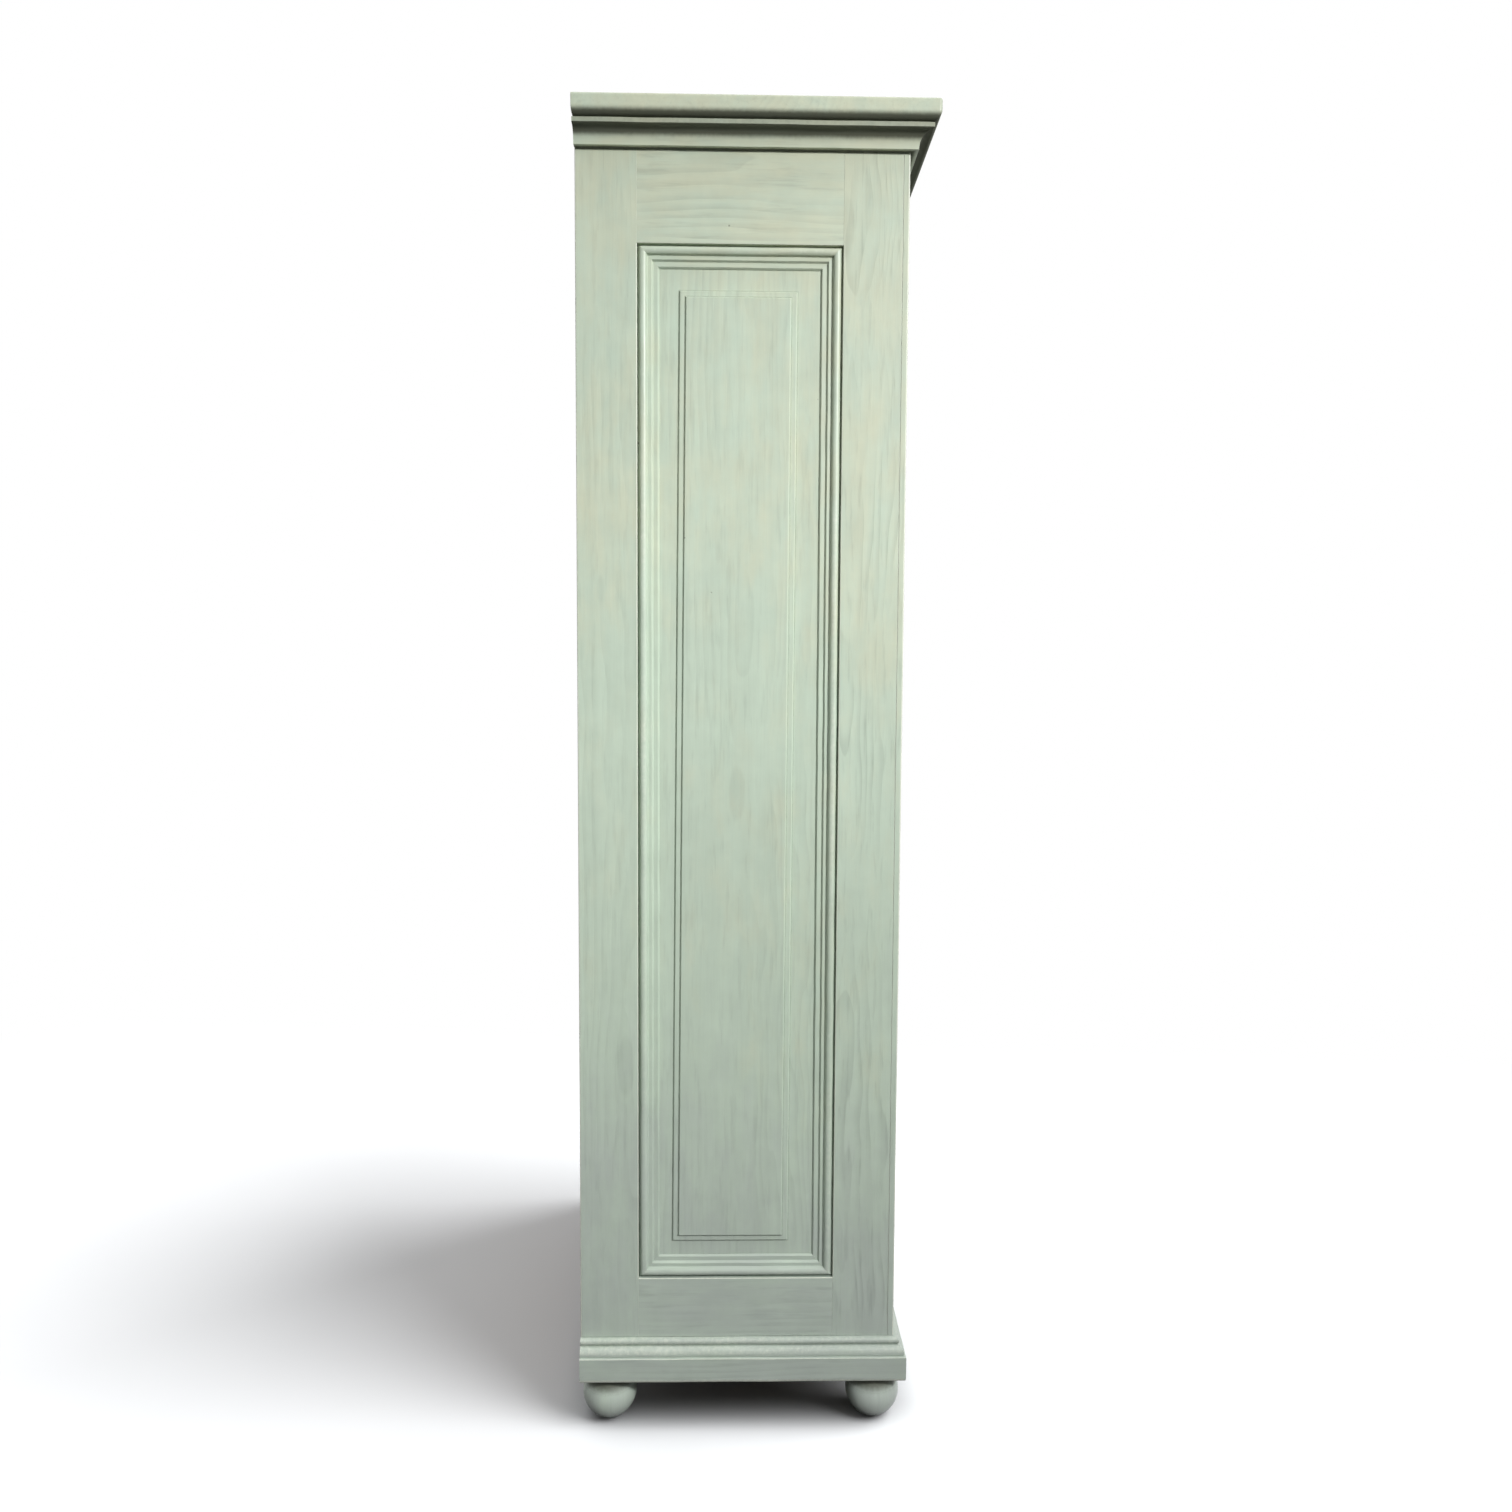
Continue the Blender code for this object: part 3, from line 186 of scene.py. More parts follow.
class WardrobeStudio(bpy.types.PropertyGroup):
    """Camera and light of the studio."""

    lens: number_setting("Lens", "Focal length on a 36 mm sensor, in millimetres", 27.447)
    key_power: number_setting("Key Light", "Lamp high before the left side", 18.3, unit="POWER")
    key_spread: number_setting("Key Spread", "How widely the key light fans out", 1.167, subtype="ANGLE")
    foot_power: number_setting("Foot Light", "Lamp on the left for the feet alone", 3.8, unit="POWER")
    sky_low: number_setting("Sky", "Light from all round", 0.02)
    sky_high: number_setting("Bright Sky", "Further light from high on the door's side", 0.40)
    sky_top: number_setting("Top Sky", "Further light from overhead", 2.2)
    sky_back: number_setting("Back Sky", "Further light from behind the wardrobe", 1.25)
    floor_white: number_setting("Floor White", "How pale the floor is to the eye", 0.50)
    floor_sun: number_setting("Floor Light", "Strength of the lamp that lights the floor alone", 8.0)
    floor_bounce: number_setting("Floor Bounce", "How much light the floor throws back", 0.015)


GROUPS = {
    "wardrobe_work": WardrobeWork,
    "wardrobe_colours": WardrobeColours,
    "wardrobe_studio": WardrobeStudio,
}

# Shapes


def ripple(first, second, seed):
    """Sum of five sine waves over two lengths, each with a seeded rate and start, about -1 to 1."""
    rng = np.random.default_rng(seed)
    rates = rng.uniform(0.4, 2.4, (2, 5)) * TURN / RIPPLE_WAVE
    starts = rng.uniform(0, TURN, 5)
    return np.sin(first[..., None] * rates[0] + second[..., None] * rates[1] + starts).sum(-1) / 3


def ease(value, low, high):
    """Smooth step: 0 below low, 1 above high, and 3 t squared less 2 t cubed between."""
    share = np.clip((value - low) / (high - low), 0, 1)
    return share * share * (3 - 2 * share)


def arc(centre, radii, start, end, steps=14):
    """Rows of an elliptical arc, centre + radii times (cosine, sine), from start to end in quarter turns."""
    angle = np.linspace(start, end, steps + 1) * TURN / 4
    return np.stack(
        [centre[0] + radii[0] * np.cos(angle), centre[1] + radii[1] * np.sin(angle), 0 * angle], -1
    )


def rounded(corners, radii, guard=0.0009):
    """Closed outline with rounded corners, and how much of an edge (+) or a hollow (-) each point is.

    At a corner c with unit directions u and v to its neighbours, the curve is c + t ((1-s)^2 u + s^2 v)
    for s from 0 to 1, where t is the radius over the tangent of half the angle. One more point lies
    further out on both sides, by the guard on an edge and by more in a hollow, so that flat faces stay
    flat and grime and painted shade fade out over them. A corner of no radius is one point.
    """
    corners, radii = np.asarray(corners, float), np.asarray(radii, float)
    shape = np.broadcast_shapes(corners.shape[:-1], radii.shape)
    corners, radii = np.broadcast_to(corners, (*shape, 2)), np.broadcast_to(radii, shape)
    single = (radii.reshape(-1, shape[-1]) <= 0).all(0)
    u, v = np.roll(corners, 1, -2) - corners, np.roll(corners, -1, -2) - corners
    lengths = np.linalg.norm(u, axis=-1), np.linalg.norm(v, axis=-1)
    room = np.minimum(*lengths)
    u, v = u / lengths[0][..., None], v / lengths[1][..., None]
    angle = np.arccos(np.clip((u * v).sum(-1), -1, 1))
    tangent = np.minimum(radii / np.tan(np.maximum(angle, 0.02) / 2), 0.4 * room)
    ahead = np.roll(corners, -1, -2)
    area = (corners[..., 0] * ahead[..., 1] - ahead[..., 0] * corners[..., 1]).sum(-1, keepdims=True)
    bend = np.sign(area * (u[..., 1] * v[..., 0] - u[..., 0] * v[..., 1]))
    reach = np.where(bend < 0, max(HOLLOW_REACH, guard), guard)
    outer = np.where(single, 0, np.minimum(tangent + reach, 0.48 * room))
    share = np.linspace(0, 1, CORNER_STEPS)
    along_u = tangent[..., None] * np.concatenate([[0], (1 - share) ** 2, [0]])
    along_v = tangent[..., None] * np.concatenate([[0], share**2, [0]])
    along_u[..., 0] = along_v[..., -1] = outer
    points = corners[..., None, :] + along_u[..., None] * u[..., None, :]
    points = points + along_v[..., None] * v[..., None, :]
    bend = bend * np.minimum(1, (math.pi - angle) * 4 / TURN)
    swell = np.concatenate([[0], 1 - 0.5 * (2 * share - 1) ** 2, [0]])
    edge = bend[..., None] * np.where(single[:, None], 0.6, swell)
    kept = np.repeat(~single[:, None], CORNER_STEPS + 2, 1)
    kept[:, 1] = True
    return points[..., kept, :], edge[..., kept]


def section(*rows, **spread):
    """Rounded outline through rows of (first, second, radius)."""
    rows = np.vstack(rows)
    return rounded(rows[:, :2], rows[:, 2], **spread)


def rectangle(a, b, radius):
    """Rows of a rectangle from a[0] to a[1] and from b[0] to b[1], all corners of one radius."""
    return [(a[0], b[0], radius), (a[1], b[0], radius), (a[1], b[1], radius), (a[0], b[1], radius)]


class Skin:
    """Rings of points with quads between neighbours and a flat face at both ends, facing outwards.

    With wrapped set, the last ring joins the first and there are no end faces.
    """

    def __init__(self, rings, grain, finish, wrapped=False):
        count, size, _ = rings.shape
        index = np.arange(count * size).reshape(count, size)
        if wrapped:
            index = np.concatenate([index, index[:1]])
        ahead = np.roll(index, -1, 1)
        self.quads = np.stack([index[:-1], ahead[:-1], ahead[1:], index[1:]], -1).reshape(-1, 4)
        self.caps = np.empty((0, size), int) if wrapped else np.stack([index[0][::-1], index[-1]])
        self.points = rings.reshape(-1, 3)
        self.grain = np.broadcast_to(grain, rings.shape).reshape(-1, 3)
        self.finish = np.broadcast_to(finish, rings.shape).reshape(-1, 3)
        if self.volume() < 0:
            self.quads, self.caps = self.quads[:, ::-1], self.caps[:, ::-1]

    def volume(self):
        """Six times the signed volume: the sum of a . (b x c) over a fan of triangles in every face."""
        points = self.points - self.points.mean(0)
        total = 0.0
        for faces in (self.quads, self.caps):
            first, middle, last = points[faces[:, :1]], points[faces[:, 1:-1]], points[faces[:, 2:]]
            total += (first * np.cross(middle, last)).sum()
        return total


def grain_shift(seed):
    """Where in its tree a board was cut: a seeded move of its grain, across, in depth and along."""
    return np.random.default_rng(1000 + seed).uniform((-0.04, -0.012, 0.0), (0.04, 0.004, 30.0))


def stations(start, end, step, extra=()):
    """Evenly spaced places from start to end with extra ones between them."""
    even = np.linspace(start, end, max(2, round(abs(end - start) / step) + 1))
    return np.unique(np.concatenate([even, extra]))


def bar(shape, place, at, mitres=(0, 0), seed=0, wobble=0.0, figure=0.5, bare=None, lay=(0, 1, 2)):
    """A section carried along a straight line.

    The point (a, b) of the section lies at origin + s along + a across + b out, where s runs from
    at[0] + mitres[0] a to at[-1] + mitres[1] a. Ripples of the wobble's size move it in a and b and die
    out at both ends. shape is an outline with its edge values, one for all places or one for each.
    Points with b at or below bare have no paint. lay says which of a, b and s the grain runs by.
    """
    origin, along, across, out = place
    outline, edge = shape
    a, b = outline[..., 0] + 0 * at[:, None], outline[..., 1] + 0 * at[:, None]
    length = at[-1] - at[0]
    share = ((at - at[0]) / length)[:, None]
    s = at[:, None] + a * (mitres[0] * (1 - share) + mitres[1] * share)
    calm = wobble * ease(np.minimum(share, 1 - share) * length, 0.0, CALM_END)
    moved_a = a + calm * ripple(s, 3 * b, seed)
    moved_b = b + calm * ripple(s, 3 * a, seed + 5)
    rings = origin + s[..., None] * along + moved_a[..., None] * across + moved_b[..., None] * out
    own = np.stack([a - (a.min() + a.max()) / 2, b - b.max(), s], -1)
    paint = np.ones_like(a) if bare is None else np.where(b > bare, 1.0, 0.0)
    finish = np.stack([edge + 0 * a, figure + 0 * a, paint], -1)
    return Skin(rings, own[..., list(lay)] + grain_shift(seed), finish)


def turning(shape, centre, axis, side, seed=0, figure=0.3, sides=None):
    """A turned piece: the point (radius, height) of the outline at angle t lies at centre + height axis
    + radius (cos t side + sin t (axis x side)). Its grain runs along the axis."""
    outline, edge = shape
    angle = np.linspace(0, TURN, sides or bpy.context.scene.wardrobe_work.turning_sides, endpoint=False)
    radius = np.maximum(outline[:, :1], 0.00004)
    first, second = radius * np.cos(angle), radius * np.sin(angle)
    height = outline[:, 1:] + 0 * angle
    rings = centre + first[..., None] * side + second[..., None] * np.cross(axis, side)
    rings = rings + height[..., None] * axis
    grain = np.stack([first, second, height], -1) + grain_shift(seed)
    finish = np.stack([edge[:, None] + 0 * height, figure + 0 * height, 1 + 0 * height], -1)
    return Skin(rings, grain, finish)


def ring_wire(centre, first, second, radius, wire):
    """A wire bent into a ring, at turns t and s: centre + (radius + wire cos s)(cos t first + sin t second)
    + wire sin s (first x second)."""
    turn = np.linspace(0, TURN, 64, endpoint=False)[:, None]
    around = np.linspace(0, TURN, 20, endpoint=False)
    reach = radius + wire * np.cos(around)
    third = np.cross(first, second)
    rings = (
        centre
        + (reach * np.cos(turn))[..., None] * first
        + (reach * np.sin(turn))[..., None] * second
        + (wire * np.sin(around) + 0 * turn)[..., None] * third
    )
    return Skin(rings, rings, (0.0, 0.3, 1.0), wrapped=True)


def nest(outlines, heights, place, seed, edges, figure, paint=1.0):
    """Closed outlines one inside the next, joined as rings: origin + a across + b along + height out."""
    origin, along, across, out = place
    a, b = outlines[..., 0], outlines[..., 1]
    h = heights[:, None] + 0 * a
    rings = origin + a[..., None] * across + b[..., None] * along + h[..., None] * out
    middle = (a.min() + a.max()) / 2
    grain = np.stack([a - middle, h - h.max(), b], -1) + grain_shift(seed)
    edges, paint = (np.broadcast_to(values, heights.shape)[:, None] + 0 * a for values in (edges, paint))
    return Skin(rings, grain, np.stack([edges, figure + 0 * a, paint], -1))


def new_object(name, data):
    """An object that holds the data, in the scene."""
    made = bpy.data.objects.new(name, data)
    bpy.context.scene.collection.objects.link(made)
    return made


def make_piece(name, skins, material, nodes=(), body=None, slot=None):
    """Joins skins into one object that takes the place of the named solids of the frame."""
    counts = np.cumsum([0] + [len(skin.points) for skin in skins])
    faces, smooth = [], []
    for skin, start in zip(skins, counts):
        faces += (skin.quads + start).tolist() + (skin.caps + start).tolist()
        smooth += [True] * len(skin.quads) + [False] * len(skin.caps)
    mesh = bpy.data.meshes.new(name)
    mesh.from_pydata(np.concatenate([skin.points for skin in skins]), [], faces)
    mesh.polygons.foreach_set("use_smooth", smooth)
    for label in ("grain", "finish"):
        values = np.concatenate([getattr(skin, label) for skin in skins]).astype(np.float32)
        mesh.attributes.new(label, "FLOAT_VECTOR", "POINT").data.foreach_set("vector", values.ravel())
    mesh.validate()
    mesh.update()
    mesh.set_sharp_from_angle(angle=SHARP_ANGLE)
    mesh.materials.append(material)
    piece = new_object(name, mesh)
    if nodes:
        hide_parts(*nodes)
        body, slot = frame["nodes"][nodes[0]]["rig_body"], SLOT_OF[nodes[0]]
    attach(piece, body)
    return piece


def dress(node, *skins):
    """A piece in the place of one solid, in the finish that the record gives it."""
    return make_piece(node + "_piece", skins, finish_for(SLOT_OF[node]), (node,))


# Finishes


class Socket:
    """A shader node's output that takes part in sums like a number."""

    def __init__(self, finish, output):
        self.finish, self.output = finish, output

    def math(self, operation, *values):
        """One step of arithmetic with sockets and numbers."""
        return self.finish.node("ShaderNodeMath", dict(enumerate(values)), operation=operation)

    def __add__(self, other):
        return self.math("ADD", self, other)

    def __radd__(self, other):
        return self.math("ADD", other, self)

    def __sub__(self, other):
        return self.math("SUBTRACT", self, other)

    def __rsub__(self, other):
        return self.math("SUBTRACT", other, self)

    def __mul__(self, other):
        return self.math("MULTIPLY", self, other)

    def __rmul__(self, other):
        return self.math("MULTIPLY", other, self)

    def __pow__(self, other):
        return self.math("POWER", self, other)

    def __neg__(self):
        return self.math("MULTIPLY", self, -1.0)

    def fraction(self):
        """What is left of a number above its whole part."""
        return self.math("FRACT", self)

    def least(self, other):
        """The lesser of two values."""
        return self.math("MINIMUM", self, other)

    def most(self, other):
        """The greater of two values."""
        return self.math("MAXIMUM", self, other)

    def step(self, low, high):
        """0 at low, 1 at high, smooth between and level beyond; low may be the greater."""
        return self.finish.node(
            "ShaderNodeMapRange", {0: self, 1: low, 2: high}, interpolation_type="SMOOTHSTEP"
        )


class Finish:
    """The node tree of a material or a sky under construction."""

    def __init__(self, owner):
        self.owner = owner
        owner.use_nodes = True
        self.tree = owner.node_tree
        self.tree.nodes.clear()

    def node(self, kind, inputs=(), output=0, **settings):
        """Makes a node, sets it, joins or fills its inputs, and gives back one of its outputs."""
        made = self.tree.nodes.new(kind)
        for setting, value in settings.items():
            setattr(made, setting, value)
        for key, value in dict(inputs).items():
            if isinstance(value, Socket):
                self.tree.links.new(value.output, made.inputs[key])
            else:
                made.inputs[key].default_value = value
        return Socket(self, made.outputs[output]) if made.outputs else None

    def attribute(self, name):
        """A named attribute of the mesh."""
        return self.node("ShaderNodeAttribute", output="Vector", attribute_name=name)

    def place(self):
        """The point in the coordinates of the object."""
        return self.node("ShaderNodeTexCoord", output="Object")

    def parts(self, vector):
        """The three lengths of a vector, or the channels of a colour."""
        first = self.node("ShaderNodeSeparateXYZ", {0: vector})
        return [Socket(self, output) for output in first.output.node.outputs]

    def vector(self, x, y, z):
        """A vector of three lengths."""
        return self.node("ShaderNodeCombineXYZ", {0: x, 1: y, 2: z})

    def noise(self, vector, scale=1.0, detail=2.0, roughness=0.5):
        """Soft noise between 0 and 1."""
        return self.node(
            "ShaderNodeTexNoise",
            {"Vector": vector, "Scale": scale, "Detail": detail, "Roughness": roughness},
        )

    def stretched(self, parts, rates, detail=2.0, roughness=0.5):
        """Noise over three lengths that are drawn out by their own rates."""
        return self.noise(
            self.vector(*(part * rate for part, rate in zip(parts, rates))), 1.0, detail, roughness
        )

    def mix(self, factor, first, second):
        """A colour from the first at 0 to the second at 1."""
        return self.node(
            "ShaderNodeMix", {0: factor, 6: first, 7: second}, output=2, data_type="RGBA", clamp_factor=True
        )

    def scaled(self, colour, factor):
        """A colour made paler or darker by a factor."""
        return self.node("ShaderNodeVectorMath", {0: colour, "Scale": factor}, operation="SCALE")

    def along(self, vector, direction):
        """How far a vector goes along a direction."""
        return self.node("ShaderNodeVectorMath", {0: vector, 1: direction}, output=1, operation="DOT_PRODUCT")

    def complete(self, colour, roughness, height, depth, metallic=0.0):
        """Joins colour, roughness and a bump of a given depth to one shader of a given metal share."""
        bump = self.node("ShaderNodeBump", {"Height": height, "Distance": depth, "Strength": 1.0})
        inputs = {"Base Color": colour, "Roughness": roughness, "Normal": bump, "Metallic": metallic}
        shader = self.node("ShaderNodeBsdfPrincipled", inputs)
        self.node("ShaderNodeOutputMaterial", {"Surface": shader})
        return self.owner


def rgb(colour):
    """A colour with full cover."""
    return (*colour, 1.0)


def growth(finish, grain, rate=165.0, waves=1.2):
    """Growth rings of a pine board: the distance from a wandering heart, cut into so many rings a metre
    that darken slowly and end sharply. Returns how dark the ring is here."""
    across, depth, _ = grain
    wander = finish.stretched(grain, (5.0, 5.0, 1.25), 2.0)
    sway = finish.stretched(grain, (18.0, 18.0, 3.2), 2.0)
    heart = depth - 0.030 + (wander - 0.5) * 0.11
    side = across + (sway - 0.5) * 0.022
    radius = (side * side + heart * heart) ** 0.5
    saw = (radius * rate + sway * waves).fraction()
    return saw.step(0.25, 0.92) * saw.step(1.0, 0.93)


def pine_colour(finish, colours, grain, late):
    """Colour of bare waxed pine: ring lines, fibres, broad patches and a few knots."""
    across, _, along = grain
    fibre = finish.stretched(grain, (900.0, 900.0, 14.0), 2.0)
    patch = finish.stretched(grain, (7.0, 7.0, 2.2), 3.0)
    cells = finish.node(
        "ShaderNodeTexVoronoi",
        {"Vector": finish.vector(across * 7.5, along * 2.1, 0.0), "Scale": 1.0, "Randomness": 1.0},
        voronoi_dimensions="2D",
    )
    chance = finish.parts(Socket(finish, cells.output.node.outputs["Color"]))[0]
    size = chance.step(0.45, 1.0)
    knot = (size * 0.11 - cells).step(0.0, 0.03)
    halo = (size * 0.22 - cells).step(0.0, 0.13)
    wood = finish.mix(
        late * 0.62 + (fibre - 0.5) * 0.5 + halo * 0.35, rgb(colours.pine_pale), rgb(colours.pine_deep)
    )
    wood = finish.mix(knot * (0.6 + fibre * 0.6), wood, rgb(colours.knot))
    return finish.scaled(wood, 0.72 + patch * 0.5), fibre, knot


def sage_paint():
    """Brushed paint over pine: rings and fibres show through, edges are rubbed pale with a painted highlight,
    hollows hold grime and painted shade, warm patches drift over it high up, and grey ones with painted
    shade low down. Faces without paint show the pine."""
    finish = Finish(bpy.data.materials.new("sage_paint_on_pine"))
    colours = bpy.context.scene.wardrobe_colours
    grain = finish.parts(finish.attribute("grain"))
    edge, figure, paint = finish.parts(finish.attribute("finish"))
    here = finish.place()
    height = finish.parts(here)[2]
    late = growth(finish, grain)
    bare, fibre, knot = pine_colour(finish, colours, grain, late)
    rings = growth(finish, grain, 95.0, 4.0)
    brush = finish.stretched(grain, (260.0, 260.0, 8.0), 3.0, 0.6)
    drag = finish.stretched(grain, (150.0, 150.0, 13.0), 3.0, 0.6)
    streak = finish.stretched(grain, (48.0, 48.0, 1.9), 2.0)
    blot = finish.stretched(grain, (30.0, 30.0, 11.0), 3.0, 0.6)
    patch = finish.noise(here, 3.1, 3.0, 0.55)
    mottle = finish.noise(here, 26.0, 3.0, 0.6)
    drift = finish.noise(here, 2.3, 3.0, 0.6)
    shown = finish.noise(here, 5.5, 2.0).step(0.38, 0.62)
    speck = finish.noise(here, 160.0, 2.0, 0.6)
    lean = (blot - 0.5) * 1.5 + (drift - 0.5) * 1.5
    warm = (height * 0.55 - 0.85 + lean).step(-0.5, 0.7)
    # Greyer and darker towards the floor: partly grey paint and partly painted shade of the dimmer light low
    # down.
    grey_and_shade_low = (0.45 - height - lean * 0.6).step(-0.35, 0.65)
    tone = (
        1.035
        + (patch - 0.5) * 0.16
        + (mottle - 0.5) * 0.16
        + (streak - 0.5) * 0.13
        + (brush - 0.5) * 0.06
        + (fibre - 0.5) * 0.06
        - drag.step(0.52, 0.72) * (0.05 + figure * 0.07)
        - (rings - 0.3) * shown * figure * 0.14
        - knot * 0.07
    )
    colour = finish.mix(warm, rgb(colours.sage), rgb(colours.sage_warm))
    colour = finish.mix(grey_and_shade_low, colour, rgb(colours.sage_grey_shaded))
    colour = finish.scaled(colour, tone)
    # Convex edges turn pale: partly rubbed paint and partly painted highlight.
    rub_and_highlight = (edge - 0.32 + (speck - 0.5) * 0.6 + (patch - 0.5) * 0.8).step(0.0, 0.6)
    colour = finish.mix(rub_and_highlight * 0.85, colour, rgb(colours.sage_rub_and_highlight))
    # Hollows are darkened towards the grime colour: partly grime and partly painted shade where shade falls.
    # Nicks are chipped paint.
    filled = (-edge - 0.03 + (speck - 0.5) * 0.12).step(0.0, 0.5)
    nick = finish.node("ShaderNodeTexVoronoi", {"Vector": here, "Scale": 12.0}).step(0.028, 0.014)
    colour = finish.mix((filled * 0.92).most(nick * 0.6), colour, rgb(colours.grime_and_shade))
    colour = finish.mix(paint, bare, colour)
    smooth = figure.step(0.2, 0.0)
    roughness = 0.33 + brush * 0.16 + (1.0 - paint) * 0.12 + filled * 0.5 - smooth * 0.21
    relief = brush * 0.4 + fibre * 0.3 + drag * 0.5 - rings * shown * figure * 0.5 - nick * 2.0
    relief = relief * (1.0 - smooth * 0.8)
    return finish.complete(colour, roughness, relief, 0.00018)


def bare_pine():
    """Planed and waxed pine with rings, fibres and knots."""
    finish = Finish(bpy.data.materials.new("bare_waxed_pine"))
    grain = finish.parts(finish.attribute("grain"))
    late = growth(finish, grain)
    colour, fibre, knot = pine_colour(finish, bpy.context.scene.wardrobe_colours, grain, late)
    roughness = 0.50 + fibre * 0.14 - knot * 0.12
    height = fibre * 0.5 - late * 0.5
    return finish.complete(colour, roughness, height, 0.00016)


def metal(name, colour, dull, rough):
    """Hand finished metal: fine hammering, darker patches and a little rub."""
    finish = Finish(bpy.data.materials.new(name))
    here = finish.place()
    patch = finish.noise(here, 60.0, 4.0, 0.6)
    grit = finish.noise(here, 900.0, 2.0)
    tone = finish.mix(patch.step(0.36, 0.68), rgb([dull * part for part in colour]), rgb(colour))
    roughness = rough + (patch - 0.5) * 0.3 + (grit - 0.5) * 0.16
    return finish.complete(tone, roughness, patch * 0.8 + grit * 0.2, 0.0002, metallic=0.85)


def dark_iron():
    """Iron that has darkened under oil."""
    return metal("dark_oiled_iron", bpy.context.scene.wardrobe_colours.iron, 0.55, 0.46)


def old_brass():
    """Brass that has lost its shine."""
    return metal("old_dull_brass", bpy.context.scene.wardrobe_colours.brass, 0.5, 0.36)


MAKERS = {"sage_paint": sage_paint, "bare_pine": bare_pine, "dark_iron": dark_iron, "old_brass": old_brass}
FINISHES = {}


def finish_for(slot):
    """The material of a slot, made when it is first needed."""
    if slot not in FINISHES:
        FINISHES[slot] = MAKERS[slot]()
    return FINISHES[slot]


# Base and top


def three_sides(prefix, shape, seed, figure, front_shade=None):
    """A moulded run of a (proud, height) section round left side, front and right side, mitred in front.
    The front can carry more painted shade than the sides."""
    outline, edges = shape
    shades = {} if front_shade is None else {"front": np.minimum(edges, -front_shade)}
    wobble = bpy.context.scene.wardrobe_work.wobble
    runs = {
        "left": ((BODY_LEFT * X, -Y, -X, Z), (-BODY_BACK, -BODY_FRONT), (0, 1)),
        "front": ((BODY_FRONT * Y, X, -Y, Z), (BODY_LEFT, BODY_RIGHT), (-1, 1)),
        "right": ((BODY_RIGHT * X, Y, X, Z), (BODY_FRONT, BODY_BACK), (-1, 0)),
    }
    for index, (side, (place, ends, mitres)) in enumerate(runs.items()):
        run = outline, shades.get(side, edges)
        at = stations(*ends, step=0.02)
        skin = bar(run, place, at, mitres, seed + 7 * index, wobble, figure, lay=(1, 0, 2))
        dress(f"{prefix}_{side}", skin)


def build_feet():
    """Ball feet with a short neck, sitting on a small flat, with painted shade at the plinth and at the
    floor.
    """
    radius, flat, neck, top = 0.0415, 0.015, 0.026, BASE_LOW - 0.0002
    low, high = math.acos(flat / radius), math.acos(neck / radius)
    middle = radius * math.sin(low)
    ball = arc((0, middle), (radius, radius), -low / TURN * 4, high / TURN * 4, 44)
    sole, head = [(0, 0, 0), (flat - 0.001, 0, 0.0008)], [(neck, top, 0.0003), (0, top, 0)]
    outline, edges = section(sole, ball, head)
    rise = outline[:, 1]
    # Painted shade on the ball: dark under the plinth and towards the floor.
    rim = 0.55 * ease(rise, 0.044, 0.066) + 0.24 * ease(-rise, -0.022, -0.004)
    shape = outline, np.minimum(edges, -rim)
    for node in FEET:
        centre = sum(box(node)) / 2 * (1, 1, 0)
        dress(node, turning(shape, centre, Z, X, SEED_OF[node], figure=0.0))


def build_plinth():
    """Flat plinth with a rounded top edge and a bead against the body, mitred round three sides."""
    low, high, proud, inside = BASE_LOW, BASE_HIGH, 0.018, -0.012
    outline, edges = section(
        [(inside, high, 0.0003), (inside, low, 0.0005), (proud, low, 0.0060)],
        [(proud, low + 0.0386, 0.0008), (0.0138, low + 0.0392, 0.0003)],
        arc((0.0055, low + 0.0425), (0.0093, 0.0103), -0.22, 1, 16),
        arc((0.003, low + 0.0587), (0.005, 0.005), -0.5, 1, 12),
    )
    reach, rise = outline[:, 0], outline[:, 1] - low
    # The top roll's crown is pale: partly rubbed paint and partly painted highlight.
    crown_rub_and_highlight = ease(rise + reach, 0.0565, 0.0590) * (rise > 0.042)
    three_sides("plinth", (outline, np.maximum(edges, 0.5 * crown_rub_and_highlight)), seed=3, figure=0.55)


def build_cornice():
    """Cornice of a cove between fillets, with painted shade in the cove, on the lip and below, and over the
    front.
    """
    head = BODY_HIGH
    foot = head - 0.0310
    back, ledge, lip = 0.0003, 0.0190, 0.0295
    outline, edges = section(
        [(back, head, 0.0002), (back, foot, 0.0004), (0.0105, foot, 0.0006)],
        arc((0.0265, foot + 0.0030), (0.016, 0.019), 2, 1, 18),
        [(0.0282, foot + 0.0220, 0.0004), (lip, foot + 0.0230, 0.0004), (lip, foot + 0.0293, 0.0005)],
        [(ledge, foot + 0.0295, 0.0003), (ledge, head, 0.0003)],
    )
    reach, rise = outline[:, 0], outline[:, 1] - foot
    # Painted shade: the cove's upper part, the lip's underside and the strip under the foot are darkened.
    in_cove = ease(rise, 0.0040, 0.0205) ** 1.5 * (rise < 0.0231)
    on_lip = ease(rise, 0.0226, 0.0234) * ease(reach, 0.026, 0.029)
    below = (rise < 0.0003) * ease(-reach, -0.0100, -0.0010)
    shade = np.minimum(edges, -np.max([0.66 * in_cove, 0.26 * on_lip, 0.6 * below], 0))
    # The front run carries more painted shade over its cove and underside.
    front_shade = 0.5 * ease(rise, -0.0005, 0.0050)
    three_sides("cornice", (outline, shade), seed=5, figure=0.25, front_shade=front_shade)


